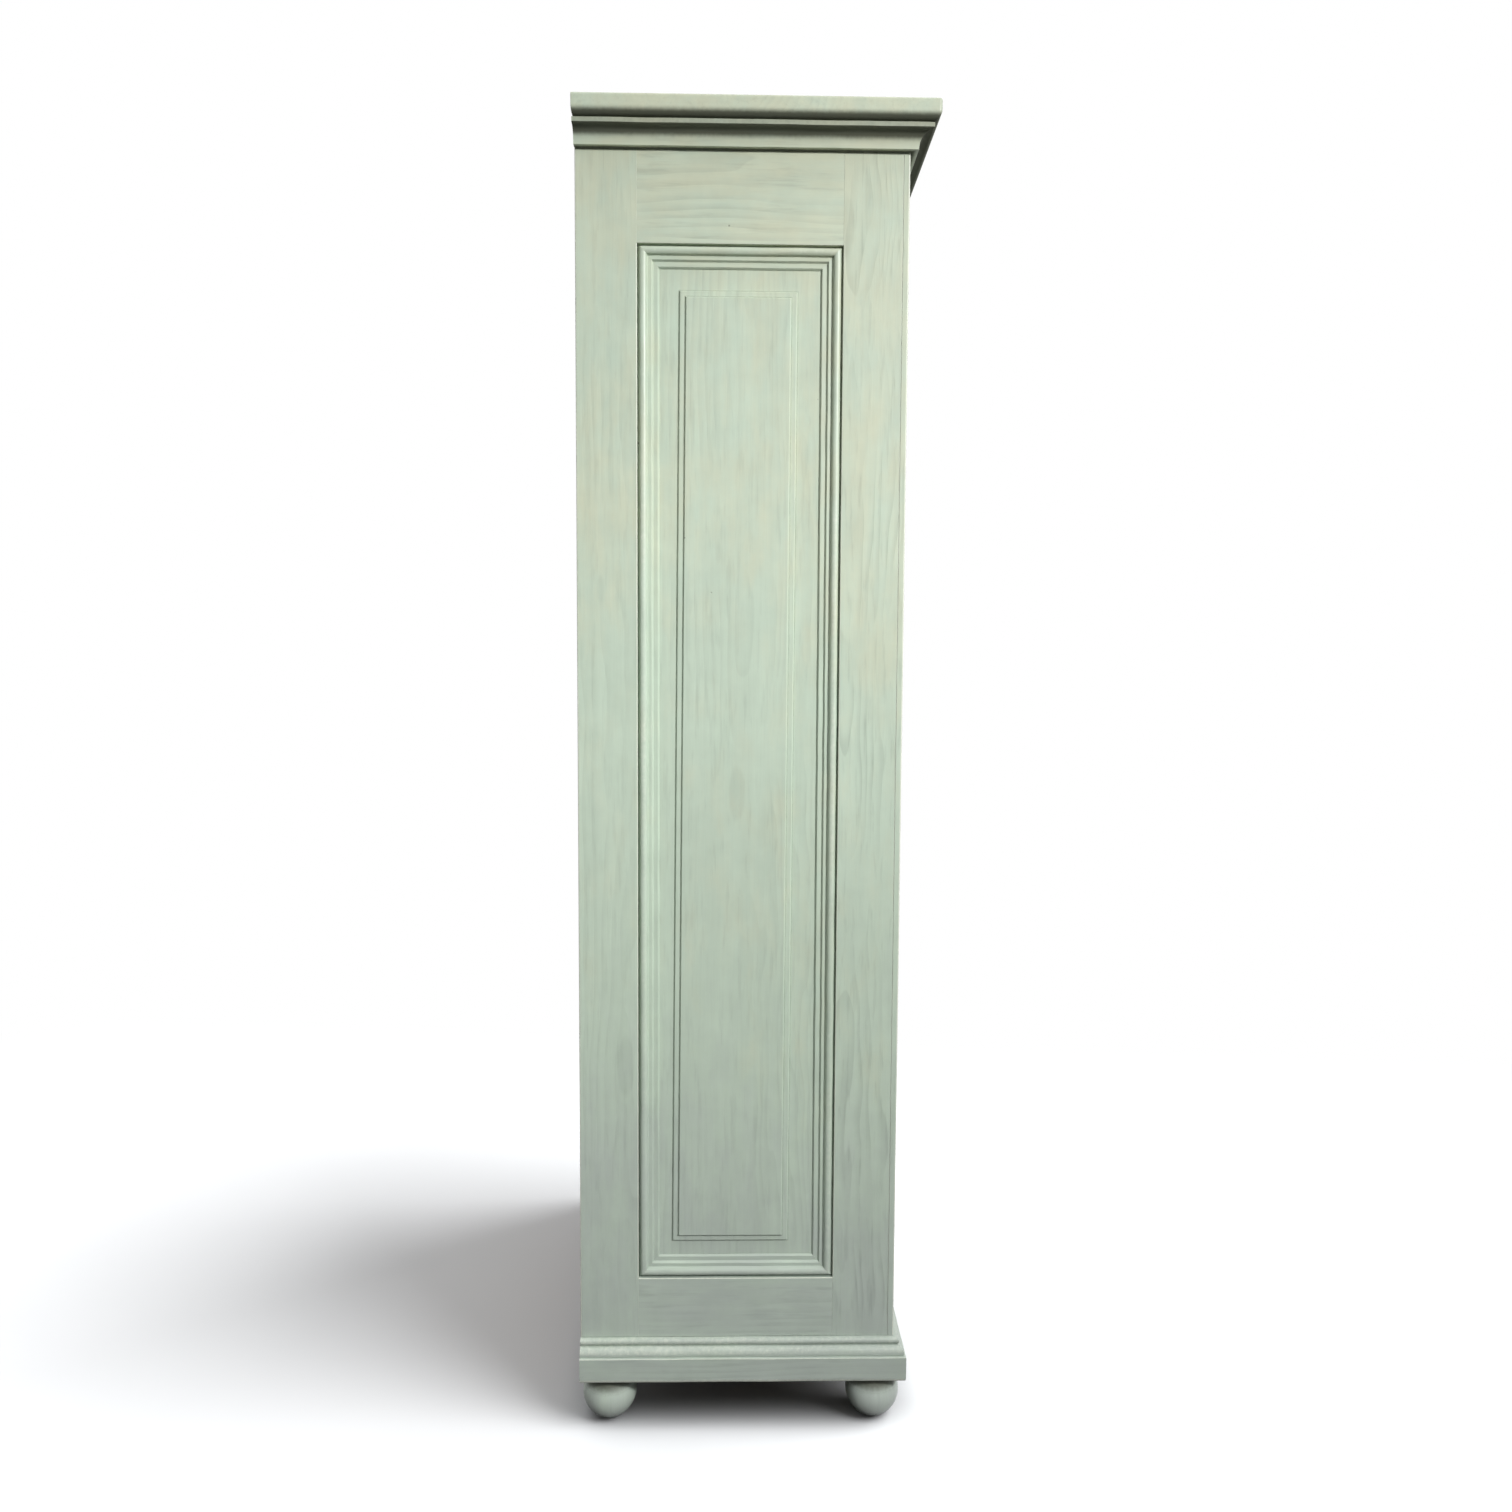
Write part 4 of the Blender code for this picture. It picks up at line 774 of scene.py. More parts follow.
def build_top_board():
    """Top board with a nosing that is rounded more below than above, with painted shade below."""
    low, high = box("top_board")
    thick, inner, under_round = high[2] - low[2], -0.05, (0.0120, 0.0116)
    profile, edges = section(
        [(inner, 0, 0)],
        arc((-under_round[0], under_round[1]), under_round, -1, 0, 12),
        [(0, thick, 0.0036), (inner, thick, 0)],
        guard=0.0012,
    )
    inset, rise = -profile[1:-1, 0], profile[1:-1, 1]
    # Painted shade darkens the nosing's underside; the rub on its edges is kept small.
    edges = np.minimum(edges[1:-1] * 0.4, -0.66 * ease(-rise, -0.0150, 0.0) ** 1.7)
    corners = np.array([(low[1], low[0]), (low[1], high[0]), (high[1], high[0]), (high[1], low[0])])
    pull = np.array([(1, 1), (1, -1), (-0.12, -1), (-0.12, 1)])
    outlines, _ = rounded(corners + inset[:, None, None] * pull, (0.004, 0.004, 0.001, 0.001))
    place = (ORIGIN, X, Y, Z)
    dress("top_board", nest(outlines, rise + low[2], place, SEED_OF["top_board"], edges, figure=0.35))


# Panelled frames


class PanelFace:
    """A framed panel: its directions, the place of its face and the edges of its opening.

    Planing has widened the opening a little at its low stile, high stile, bottom rail and top rail.
    """

    def __init__(self, prefix, low_stile, high_stile, across, planed):
        self.prefix = prefix
        self.across, self.out = across, np.cross(across, Z)
        self.low_stile, self.high_stile = f"{prefix}_{low_stile}", f"{prefix}_{high_stile}"
        self.top_rail, self.bottom_rail = f"{prefix}_top_rail", f"{prefix}_bottom_rail"
        self.origin = span(self.low_stile, self.out)[1] * self.out
        self.w = span(self.low_stile, across)[1] - planed[0], span(self.high_stile, across)[0] + planed[1]
        self.z = span(self.bottom_rail, Z)[1] - planed[2], span(self.top_rail, Z)[0] + planed[3]
        self.upright = (self.origin, Z, across, self.out)
        self.level = (self.origin, across, Z, self.out)


LEFT_SIDE = PanelFace("left_side", "rear_stile", "front_stile", -Y, (0.0025, 0.0027, 0.0042, 0.0032))
RIGHT_SIDE = PanelFace("right_side", "front_stile", "rear_stile", Y, (0.0027, 0.0025, 0.0042, 0.0032))
DOOR = PanelFace("door", "hinge_stile", "lock_stile", X, (0.0026, 0.0026, 0.0032, 0.0032))
UNPAINTED = 0.0006 - STOCK
JOINT_STEPS = np.array([-0.0006, 0.0, 0.0006, 0.0014])


def soft_inside(rows, at, opening):
    """Sections of a stile that has a full arris along the opening, its second corner, and a tight one there
    at the rails' joints."""
    work = bpy.context.scene.wardrobe_work
    rows = np.asarray(rows, float)
    inside = ease(at, opening[0] - 0.0004, opening[0] + 0.0012)
    inside = inside * ease(-at, -opening[1] - 0.0004, 0.0012 - opening[1])
    radii = np.repeat(rows[None, :, 2], len(at), 0)
    radii[:, 1] = work.joint_arris + (work.arris - work.joint_arris) * inside
    return rounded(rows[:, :2], radii)


def stile_rows(outer, inner, outer_radius, rebate=None):
    """Section of a stile from its outer edge to its opening, with a rebate for the back boards if asked."""
    joint = bpy.context.scene.wardrobe_work.joint_arris
    sign = 1 if inner > outer else -1
    rows = [(outer, 0, outer_radius), (inner, 0, joint), (inner, -STOCK, joint)]
    if rebate is None:
        return rows + [(outer, -STOCK, joint)]
    step, depth = outer + sign * rebate[0], rebate[1] - STOCK
    return rows + [(step, -STOCK, joint), (step, depth, joint), (outer, depth, joint)]


def stile(node, rows, place, opening, figure, ends=None):
    """A stile of given section from end to end of its solid, or over a part of it."""
    low, high = ends or span(node, Z)
    turns = np.concatenate([opening[0] + JOINT_STEPS, opening[1] - JOINT_STEPS])
    at = stations(low, high, step=0.06, extra=turns[(turns > low) & (turns < high)])
    shape = soft_inside(rows, at, opening)
    return bar(shape, place, at, seed=SEED_OF[node], figure=figure, bare=UNPAINTED)


def rail(node, place, ends, opening, figure, outer_radius=0.0004):
    """A rail between two stiles, with a full arris on the edge towards the opening."""
    work = bpy.context.scene.wardrobe_work
    low, high = span(node, Z)
    top = low > BODY_HIGH / 2
    low, high = (opening[1], high) if top else (low, opening[0])
    radii = (work.arris, outer_radius) if top else (outer_radius, work.arris)
    rows = [(low, 0, radii[0]), (high, 0, radii[1]), (high, -STOCK, 0.0003), (low, -STOCK, 0.0003)]
    at = stations(ends[0] + work.joint_line, ends[1] - work.joint_line, step=0.05)
    return bar(section(rows), place, at, seed=SEED_OF[node], figure=figure, bare=UNPAINTED)


def build_side_frames():
    """Stiles and rails of the two sides; the rear stiles are rebated for the back boards."""
    work = bpy.context.scene.wardrobe_work
    for face in (LEFT_SIDE, RIGHT_SIDE):
        for node, end in ((face.low_stile, 0), (face.high_stile, 1)):
            outer, inner = span(node, face.across)[end], face.w[end]
            if node.endswith("rear_stile"):
                rows, figure = stile_rows(outer, inner, work.corner, BACK_REBATE), 0.45
            else:
                line = work.joint_line * (1 - 2 * end)
                rows, figure = stile_rows(outer + line, inner, work.joint_arris), 1.0
            dress(node, stile(node, rows, face.upright, face.z, figure))
        for node, figure in ((face.top_rail, 0.8), (face.bottom_rail, 0.6)):
            dress(node, rail(node, face.level, face.w, face.z, figure))


def build_face_frame():
    """Corner stiles that lap over the sides' front edges, and the rails above and below the door."""
    work = bpy.context.scene.wardrobe_work
    joint = work.joint_arris
    opening = span("face_bottom_rail", Z)[1], span("face_top_rail", Z)[0]
    inner = span("face_stile_right", X)[0]
    for node, sign in (("face_stile_left", -1), ("face_stile_right", 1)):
        outer, edge, lap = sign * BODY_RIGHT, sign * inner, sign * (BODY_RIGHT - STOCK - FIT)
        rows = [(outer, 0, work.corner), (edge, 0, joint), (edge, -STOCK, joint), (lap, -STOCK, joint)]
        rows += [(lap, -CORNER_LIP, joint), (outer, -CORNER_LIP, joint)]
        dress(node, stile(node, rows, (BODY_FRONT * Y, Z, X, -Y), opening, figure=0.7))
    for node in ("face_top_rail", "face_bottom_rail"):
        dress(node, rail(node, (BODY_FRONT * Y, X, Z, -Y), (-inner, inner), opening, figure=0.6))


def keyhole_edge(angle, grown):
    """A keyhole's edge seen from the key's axis: a circle, or below it the slot where that is further."""
    side = np.maximum(np.abs(np.cos(angle)), 1e-6)
    down = np.maximum(-np.sin(angle), 1e-6)
    slot = np.minimum((KEYHOLE_HALF_SLOT + grown) / side, (KEYHOLE_DROP + grown) / down)
    reach = np.maximum(KEYHOLE_ROUND + grown, np.where(np.sin(angle) < 0, slot, 0))
    return reach[:, None] * np.stack([np.cos(angle), np.sin(angle)], -1)


def pierced_length(w, z, seed, figure):
    """The length of the lock stile with the keyhole in it.

    Rings run from the keyhole out over the face, round the stile's edges, over its back and in to the
    keyhole again. At angle t a ring lies at the keyhole's edge or where the ray meets the rectangle.
    """
    arris = bpy.context.scene.wardrobe_work.arris
    low, high = w[0] - KEY_AXIS[0], w[1] - KEY_AXIS[0]
    bottom, top = z[0] - KEY_AXIS[2], z[1] - KEY_AXIS[2]
    corners = np.arctan2([bottom, bottom, top, top], [low, high, high, low])
    angle = np.unique(np.concatenate([np.linspace(-math.pi, math.pi, 96, endpoint=False), corners]))
    cos, sin = np.cos(angle), np.sin(angle)
    width, height = np.where(cos > 0, high, -low), np.where(sin > 0, top, -bottom)
    reach = np.minimum(width / np.maximum(np.abs(cos), 1e-9), height / np.maximum(np.abs(sin), 1e-9))
    share = np.linspace(0, 1, 5)
    inset = arris * np.concatenate([[1.8], (1 - share) ** 2, [0]])
    depth = arris * np.concatenate([[0], share**2, [1.8]])
    inset, depth = np.concatenate([inset, inset[::-1]]), np.concatenate([-depth, (depth - STOCK)[::-1]])
    plate = np.stack([reach * cos * (1 - inset[:, None] / width), reach * sin + 0 * inset[:, None]], -1)
    grown = RIM_WALL + FIT
    mouth, guard = keyhole_edge(angle, grown), keyhole_edge(angle, grown + 0.0005)
    flat = np.concatenate([[mouth, guard], plate, [guard, mouth]])
    b = np.concatenate([[0, 0], depth, [-STOCK, -STOCK]])[:, None] + 0 * cos
    a, s = flat[..., 0] + KEY_AXIS[0], flat[..., 1] + KEY_AXIS[2]
    rings = DOOR.origin + a[..., None] * DOOR.across + s[..., None] * Z + b[..., None] * DOOR.out
    grain = np.stack([a - (w[0] + w[1]) / 2, b, s], -1) + grain_shift(seed)
    paint = np.where(b > UNPAINTED, 1.0, 0.0)
    return Skin(rings, grain, np.stack([0 * b, figure + 0 * b, paint], -1), wrapped=True)


def build_door_frame():
    """Stiles and rails of the door; the lock stile is made of three lengths, the middle one pierced."""
    work, figure = bpy.context.scene.wardrobe_work, 0.6
    node = DOOR.low_stile
    rows = stile_rows(span(node, X)[0], DOOR.w[0], work.arris)
    dress(node, stile(node, rows, DOOR.upright, DOOR.z, figure))
    node = DOOR.high_stile
    outer, low, high = span(node, X)[1], *span(node, Z)
    rows = stile_rows(outer, DOOR.w[1], work.arris)
    rows[2:] = [(DOOR.w[1], -STOCK, work.arris), (outer, -STOCK, work.arris)]
    bottom, top = KEY_AXIS[2] - PIERCED_HALF, KEY_AXIS[2] + PIERCED_HALF
    dress(
        node,
        pierced_length((DOOR.w[1], outer), (bottom, top), SEED_OF[node], figure),
        stile(node, rows, DOOR.upright, DOOR.z, figure, ends=(low, bottom)),
        stile(node, rows, DOOR.upright, DOOR.z, figure, ends=(top, high)),
    )
    for node in (DOOR.top_rail, DOOR.bottom_rail):
        dress(node, rail(node, DOOR.level, DOOR.w, DOOR.z, figure, work.arris))


# Margins of the raised fields inside their openings, from the low stile's bottom corner round to its top
FIELD_MARGINS = {
    LEFT_SIDE: ((0.0503, 0.0530), (0.0686, 0.0530), (0.0643, 0.0615), (0.0597, 0.0615)),
    RIGHT_SIDE: ((0.0658, 0.0562), (0.0630, 0.0562), (0.0622, 0.0592), (0.0615, 0.0592)),
    DOOR: ((0.0622, 0.0570), (0.0630, 0.0570), (0.0625, 0.0572), (0.0620, 0.0572)),
}


def build_panels():
    """Panels with a field raised in two steps inside a flat margin."""
    inward = np.array([(1, 1), (-1, 1), (-1, -1), (1, -1)])
    step, strip, slope = FIELD_RISE / 2, FIELD_STRIP, FIELD_SLOPE
    outer, inner, deep = -0.03, 0.05, -0.05
    profile, edges = section(
        [(outer, 0, 0), (0, 0, 0.0003), (slope, step, 0.0007), (strip, step, 0.0003)],
        [(strip + slope, 2 * step, 0.0007), (inner, 2 * step, 0), (inner, deep, 0), (outer, deep, 0)],
        guard=0.0008,
    )
    inset, height = profile[1:-3].T
    levels = np.concatenate([[-PANEL_THICK, -0.0005, 0, 0], height]) - PANEL_DEPTH
    edges = 0.7 * np.concatenate([[0, 0, 0, 0], edges[1:-3]])
    paint = np.concatenate([[0], np.ones(len(levels) - 1)])
    for face, margins in FIELD_MARGINS.items():
        node = f"{face.prefix}_panel"
        w, z = face.w, face.z
        opening = np.array([(w[0], z[0]), (w[1], z[0]), (w[1], z[1]), (w[0], z[1])])
        field = opening + inward * np.array(margins)
        wide, under = opening - inward * 0.0005, opening + inward * 0.01
        quads = np.concatenate([[wide, wide, opening, under], field + inset[:, None, None] * inward])
        outlines, _ = rounded(quads, np.full((len(quads), 4), 0.0003), guard=0.0006)
        dress(node, nest(outlines, levels, face.upright, SEED_OF[node], edges, figure=0.45, paint=paint))


def build_mouldings():
    """Four mitred sticks round every panel: a quirk, a bead and two sloped steps down to the panel."""
    work = bpy.context.scene.wardrobe_work
    outline, edges = section(
        [(0.0002, 0, 0.0002), (0.0002, 0.0042, 0.0003), (0.0024, 0.0042, 0.0003)],
        arc((0.0083, 0.0084), (0.0057, 0.0049), 2, 0.07, 18),
        [(0.0150, 0.0064, 0.0003), (0.0204, 0.0068, 0.0007), (0.0227, 0.0031, 0.0003)],
        [(0.0294, 0.0035, 0.0007), (0.0318, 0.00025, 0.0002)],
    )
    inner = ease(outline[:, 0], 0.009, 0.012)
    # The bead's crown is pale: partly rubbed paint and partly painted highlight.
    crown_rub_and_highlight = 0.42 * ease(outline[:, 1], 0.0108, 0.0130)

    def rub_and_shade(shade_lifted):
        """Edge values with the crown rubbed pale with a painted highlight, and a share of the grime and
        painted shade taken off the steps inside it.
        """
        return np.maximum(edges * (1 - np.where(edges < 0, shade_lifted, 0.3) * inner), crown_rub_and_highlight)

    # The top stick keeps more of its painted shade on the steps than the other three sticks.
    less_shaded, more_shaded = rub_and_shade(0.55), rub_and_shade(0.1)
    for face in FIELD_MARGINS:
        node = f"{face.prefix}_moulding"
        seat = face.origin - MOULDING_SEAT * face.out
        w, z, line = face.w, face.z, work.joint_line / 2
        sticks = (
            ((seat + w[0] * face.across, Z, face.across, face.out), z, less_shaded),
            ((seat + w[1] * face.across, Z, -face.across, face.out), z, less_shaded),
            ((seat + z[0] * Z, face.across, Z, face.out), w, less_shaded),
            ((seat + z[1] * Z, face.across, -Z, face.out), w, more_shaded),
        )
        skins = []
        for index, (place, ends, shade) in enumerate(sticks):
            at = stations(ends[0] + line, ends[1] - line, step=0.018)
            seed = SEED_OF[node] + index
            skins.append(bar((outline, shade), place, at, (1, -1), seed, work.wobble, figure=0.35))
        dress(node, *skins)


# Back and inside

BACK_BOARDS = [f"back_board_{index}" for index in range(1, 5)]
BOARD_ROUND = 0.0012


def plank(node, along):
    """A plain board that fills its solid, its grain along one of the frame's axes."""
    low, high = box(node)
    others = [axis for axis in range(3) if not along[axis]]
    across, out = sorted(others, key=lambda axis: low[axis] - high[axis])
    rows = rectangle((low[across], high[across]), (low[out], high[out]), BOARD_ROUND)
    place = (ORIGIN, along, np.eye(3)[across], np.eye(3)[out])
    at = stations(*span(node, along), step=0.1)
    return bar(section(rows), place, at, seed=SEED_OF[node], figure=0.6)


def build_back():
    """Upright tongued and grooved boards with a small bevel down every joint."""
    tongue, groove, half, bevel, tight = 0.0057, 0.006, 0.0025, 0.0012, 0.0002
    for node in BACK_BOARDS:
        low, high = box(node)
        first, last = node == BACK_BOARDS[0], node == BACK_BOARDS[-1]
        near, far, mid = low[0], high[0] - (0 if last else tongue), (low[1] + high[1]) / 2
        rows = [(near, low[1], bevel / 2)]
        if not first:
            rows += [(near, mid - half, tight), (near + groove, mid - half, tight)]
            rows += [(near + groove, mid + half, tight), (near, mid + half, tight)]
        rows += [(near, high[1], bevel), (far, high[1], bevel)]
        if not last:
            rows += [(far, mid + half - FIT, tight), (high[0], mid + half - FIT, tight)]
            rows += [(high[0], mid - half + FIT, tight), (far, mid - half + FIT, tight)]
        rows += [(far, low[1], bevel / 2)]
        at = stations(low[2], high[2], step=0.1)
        dress(node, bar(section(rows), (ORIGIN, Z, X, Y), at, seed=SEED_OF[node], figure=0.8))


def build_inside():
    """Shelf, cleats, hanging rail with its supports, door stops, floor, bearers and back plinth rail."""
    floor = [f"floor_board_{index}" for index in (1, 2, 3)]
    for node in ("hat_shelf", "door_stop_top", "door_stop_bottom", "plinth_back", *floor):
        dress(node, plank(node, X))
    low, high = box("hanging_rail")
    centre, radius, end = (low + high) / 2 * (0, 1, 1), (high[2] - low[2]) / 2, 0.0015
    rows = [(0, low[0], 0), (radius, low[0], end), (radius, high[0], end), (0, high[0], 0)]
    dress("hanging_rail", turning(section(rows), centre, X, Z, SEED_OF["hanging_rail"]))
    middle, level, socket = centre[1], centre[2], radius + FIT
    for side in ("left", "right"):
        for node in (f"shelf_cleat_{side}", f"base_bearer_{side}"):
            dress(node, plank(node, Y))
        node = f"rail_support_{side}"
        low, high = box(node)
        front, rear, bottom, top = low[1], high[1], low[2], high[2]
        shape = section(
            [(front, bottom, BOARD_ROUND), (rear, bottom, BOARD_ROUND), (rear, top, BOARD_ROUND)],
            [(middle + socket, top, end)],
            arc((middle, level), (socket, socket), 0, -2, 24),
            [(middle - socket, top, end), (front, top, BOARD_ROUND)],
        )
        at = stations(low[0], high[0], step=0.02)
        dress(node, bar(shape, (ORIGIN, X, Y, Z), at, seed=SEED_OF[node], lay=(1, 2, 0)))


# Fittings


def build_hinges():
    """Lift-off hinges: a barrel in two halves with a turned end on each, a pin, and a let-in blade."""
    radius, half, finial, bore = 0.005, 0.040, 0.009, 0.0027
    blade_depth, blade_height, blade_thick = (0.0039, 0.0296), (0.003, 0.037), np.array((0.00118, 0.0033))
    barrel = section(
        [(0, 0.0004, 0), (radius, 0.0004, 0.0004), (radius, half, 0.0005), (0.0041, half, 0.0002)],
        arc((0, half), (0.004, finial), 0, 1, 14)[1:-1],
        [(0, half + finial, 0)],
        guard=0.0005,
    )
    post = section([(0, -0.002, 0), (bore, -0.002, 0), (bore, 0.031, 0.0006), (0, 0.032, 0)], guard=0.0004)
    blade = section(rectangle(blade_depth, blade_height, 0.0006), guard=0.0004)
    for level, z in HINGE_LEVELS.items():
        pin = np.array((PIN_X, PIN_Y, z))
        for part, side in (("frame", -1), ("door", 1)):
            skins = [
                turning(barrel, pin, side * Z, X, sides=40),
                bar(blade, (pin, side * X, Y, side * Z), blade_thick),
            ]
            if part == "frame":
                skins.append(turning(post, pin, Z, X, sides=32))
            dress(f"hinge_{level}_{part}_half", *skins)


def build_key():
    """A key with a ring bow, a collar against the keyhole and a bit that hangs down.

    Its places along the shank are distances towards the front from the middle of the wardrobe.
    """
    tip, bit_ends, collar, head = -box("key")[1][1], np.array((0.18505, 0.17905)), 0.22215, 0.23275
    shank_round, collar_round, bow, wire = 0.003, 0.0046, 0.0085, 0.0022
    shank = section(
        [(0, tip, 0), (shank_round, tip, 0.0004), (shank_round, collar, 0.0002)],
        [(collar_round, collar, 0.0005), (collar_round, collar + 0.0046, 0.0009)],
        [(shank_round, collar + 0.0061, 0.0008), (shank_round, head, 0.0008), (0, head + 0.0018, 0)],
        guard=0.0004,
    )
    bit = section(rectangle((-0.00125, 0.00125), (-0.012, -0.001), 0.0003), guard=0.0003)
    dress(
        "key",
        turning(shank, KEY_AXIS, -Y, X, sides=40),
        ring_wire(KEY_AXIS - (head + bow) * Y, Y, Z, bow, wire),
        bar(bit, (KEY_AXIS, Y, X, Z), -bit_ends),
    )


def build_lock():
    """Case, bolt, keeper and keyhole rim stay as they are cut, with their edges eased."""
    widths = {"lock_case": 0.0007, "lock_bolt": 0.0004, "lock_keeper": 0.0005, "keyhole_rim": 0.00025}
    for node, width in widths.items():
        solid = frame["nodes"][node]
        solid.data.materials.clear()
        solid.data.materials.append(finish_for(SLOT_OF[node]))
        eased = solid.modifiers.new("eased_edges", "BEVEL")
        eased.width, eased.segments, eased.limit_method = width, 3, "ANGLE"
        eased.angle_limit = SHARP_ANGLE


def grid(x, y, z):
    """Every point whose distances along the three axes are among those given."""
    return np.stack(np.meshgrid(x, y, z), -1).reshape(-1, 3)


def iron_heads(name, centres, radius, rise, body):
    """One piece of low round heads, each a turned cap: radius times cosine, rise times sine."""
    sunk = 0.0004
    shape = section([(0, -sunk, 0), (radius, -sunk, 0)], arc((0, 0), (radius, rise), 0, 0.98, 8))
    skins = [turning(shape, centre, Y, X, sides=24) for centre in centres]
    make_piece(name, skins, finish_for("dark_iron"), body=body, slot="dark_iron")


def build_fasteners():
    """Nails of the back boards, and screws of the lock case and its keeper."""
    boards = np.array([span(node, X) for node in BACK_BOARDS])
    lines = np.column_stack([boards[:, 0] + 0.022, boards.mean(1), boards[:, 1] - 0.026]).ravel()
    nails = grid(lines, BODY_BACK, (BODY_LOW + 0.035, BODY_HIGH - 0.290, BODY_HIGH - 0.016))
    nails = nails + np.random.default_rng(8).uniform(-0.003, 0.003, nails.shape) * (1, 0, 1)
    iron_heads("back_board_nails", nails, 0.0032, 0.0005, "carcass")
    low, high = box("lock_case")
    inset = 0.007
    screws = grid((low[0] + inset, high[0] - inset), high[1], (low[2] + inset, high[2] - inset))
    iron_heads("lock_case_screws", screws, 0.0036, 0.0014, "door")
    low, high = box("lock_keeper")
    inset, plate = 0.005, 0.0015
    screws = grid((low[0] + high[0]) / 2, low[1] + plate, (low[2] + inset, high[2] - inset))
    iron_heads("lock_keeper_screws", screws, 0.003, 0.0012, "carcass")


# Studio

WHITE = (1.0, 1.0, 1.0, 1.0)
# Directions to the bright parts of the sky and to the floor's lamp, which is this wide in radians
SKY_GLOW = (-0.60, -0.48, 0.64)
SKY_BACK = (0.80, 0.52, 0.30)
FLOOR_SUN = (-0.10, -0.68, 0.73)
FLOOR_SUN_WIDTH = 1.0
# Each lamp's place, what it points at and its width
KEY_LAMP = ((-2.80, -1.80, 2.59), (-0.38, 0.621, 0.929), 0.5)
FOOT_LAMP = ((-1.48, -0.38, 1.05), (-0.38, 0.0, 0.04), 0.22)
# Columns: the camera's right, up and back directions and its place
CAMERA_FRAME = (
    (-0.020411, 0.072284, -0.99718, -2.0822),
    (-0.999775, 0.004207, 0.02077, 0.03125),
    (0.005696, 0.997376, 0.07218, BASE_LOW + 1.081),
    (0.0, 0.0, 0.0, 1.0),
)
SENSOR_WIDTH = 36.0
FLOOR_HALF = 30.0
FLOOR_LEVEL = -0.0002


def area_lamp(name, place, target, size, power, spread=math.pi):
    """A round lamp that shines from a place at a target and isn't seen itself."""
    lamp = bpy.data.lights.new(name, "AREA")
    lamp.shape, lamp.size, lamp.energy, lamp.spread = "DISK", size, power, spread
    made = new_object(name, lamp)
    made.location = place
    made.rotation_euler = (Vector(target) - Vector(place)).to_track_quat("-Z", "Y").to_euler()
    made.visible_camera = False
    return made


def link_lamp(lamp, objects, state):
    """Links a lamp to some objects: with INCLUDE it lights those alone, with EXCLUDE all but those."""
    chosen = bpy.data.collections.new(f"{state.lower()}_{lamp.name}")
    for obj in objects:
        chosen.objects.link(obj)
    lamp.light_linking.receiver_collection = chosen
    for link in chosen.collection_objects:
        link.light_linking.link_state = state


def seen(finish):
    """1 for rays that reach the picture straight, by a mirror or through glass, else 0."""
    path = finish.node("ShaderNodeLightPath", output="Is Camera Ray")
    outputs = path.output.node.outputs
    others = [Socket(finish, outputs[f"Is {kind} Ray"]) for kind in ("Glossy", "Transmission")]
    return (path + others[0] + others[1]).least(1.0)


def floor_material(studio):
    """Pale floor that keeps the wardrobe's shadow and melts into the white background further off.
    It has a painted shadow under the wardrobe, and is quieter where it throws light back."""
    finish = Finish(bpy.data.materials.new("studio_floor"))
    here = finish.place()
    x, y, _ = finish.parts(here)
    speck = finish.noise(here, 3.0, 2.0)
    looked_at = seen(finish)
    within_x = x.most(-x).step(BODY_RIGHT + 0.05, BODY_RIGHT - 0.06)
    within_y = y.most(-y).step(BODY_BACK + 0.05, BODY_BACK - 0.06)
    # Painted shadow: the floor is half as pale within the wardrobe's footprint.
    pale = (studio.floor_white + (speck - 0.5) * 0.02) * (1.0 - within_x * within_y * 0.5)
    level = studio.floor_bounce + looked_at * (pale - studio.floor_bounce)
    tint = finish.vector(level * 0.985, level, level * 1.02)
    shade = finish.node("ShaderNodeBsdfDiffuse", {"Color": tint})
    away = ((x * x + y * y * 0.55) ** 0.5).step(1.15, 2.3).most((x - y * 0.1).step(0.45, 1.5))
    white = finish.node("ShaderNodeEmission", {"Color": WHITE, "Strength": 1.0})
    shader = finish.node("ShaderNodeMixShader", {0: away * looked_at, 1: shade, 2: white})
    finish.node("ShaderNodeOutputMaterial", {"Surface": shader})
    return finish.owner


def lay_floor(studio):
    """A level sheet of four by four quads, a little below the feet."""
    count = 5
    side = np.linspace(-FLOOR_HALF, FLOOR_HALF, count)
    points = np.stack(np.meshgrid(side, side, FLOOR_LEVEL, indexing="ij"), -1).reshape(-1, 3)
    index = np.arange(count * count).reshape(count, count)
    quads = np.stack([index[:-1, :-1], index[1:, :-1], index[1:, 1:], index[:-1, 1:]], -1).reshape(-1, 4)
    mesh = bpy.data.meshes.new("studio_floor")
    mesh.from_pydata(points, [], quads.tolist())
    mesh.materials.append(floor_material(studio))
    return new_object("studio_floor", mesh)


def paint_sky(studio):
    """Soft light from one side, from behind and from overhead, in a sky that is plain white to the eye."""
    sky = Finish(bpy.data.worlds.new("studio_sky"))
    toward = sky.node("ShaderNodeTexCoord", output="Generated")
    glow = (0.5 + 0.5 * sky.along(toward, SKY_GLOW)) ** 7.0
    back = sky.along(toward, SKY_BACK).most(0.0) ** 2.0
    above = sky.parts(toward)[2].most(0.0) ** 6.0
    light = studio.sky_low + studio.sky_high * glow + studio.sky_top * above + studio.sky_back * back
    strength = light + seen(sky) * (1.0 - light)
    shine = sky.node("ShaderNodeBackground", {"Color": WHITE, "Strength": strength})
    sky.node("ShaderNodeOutputWorld", {"Surface": shine})
    return sky.owner


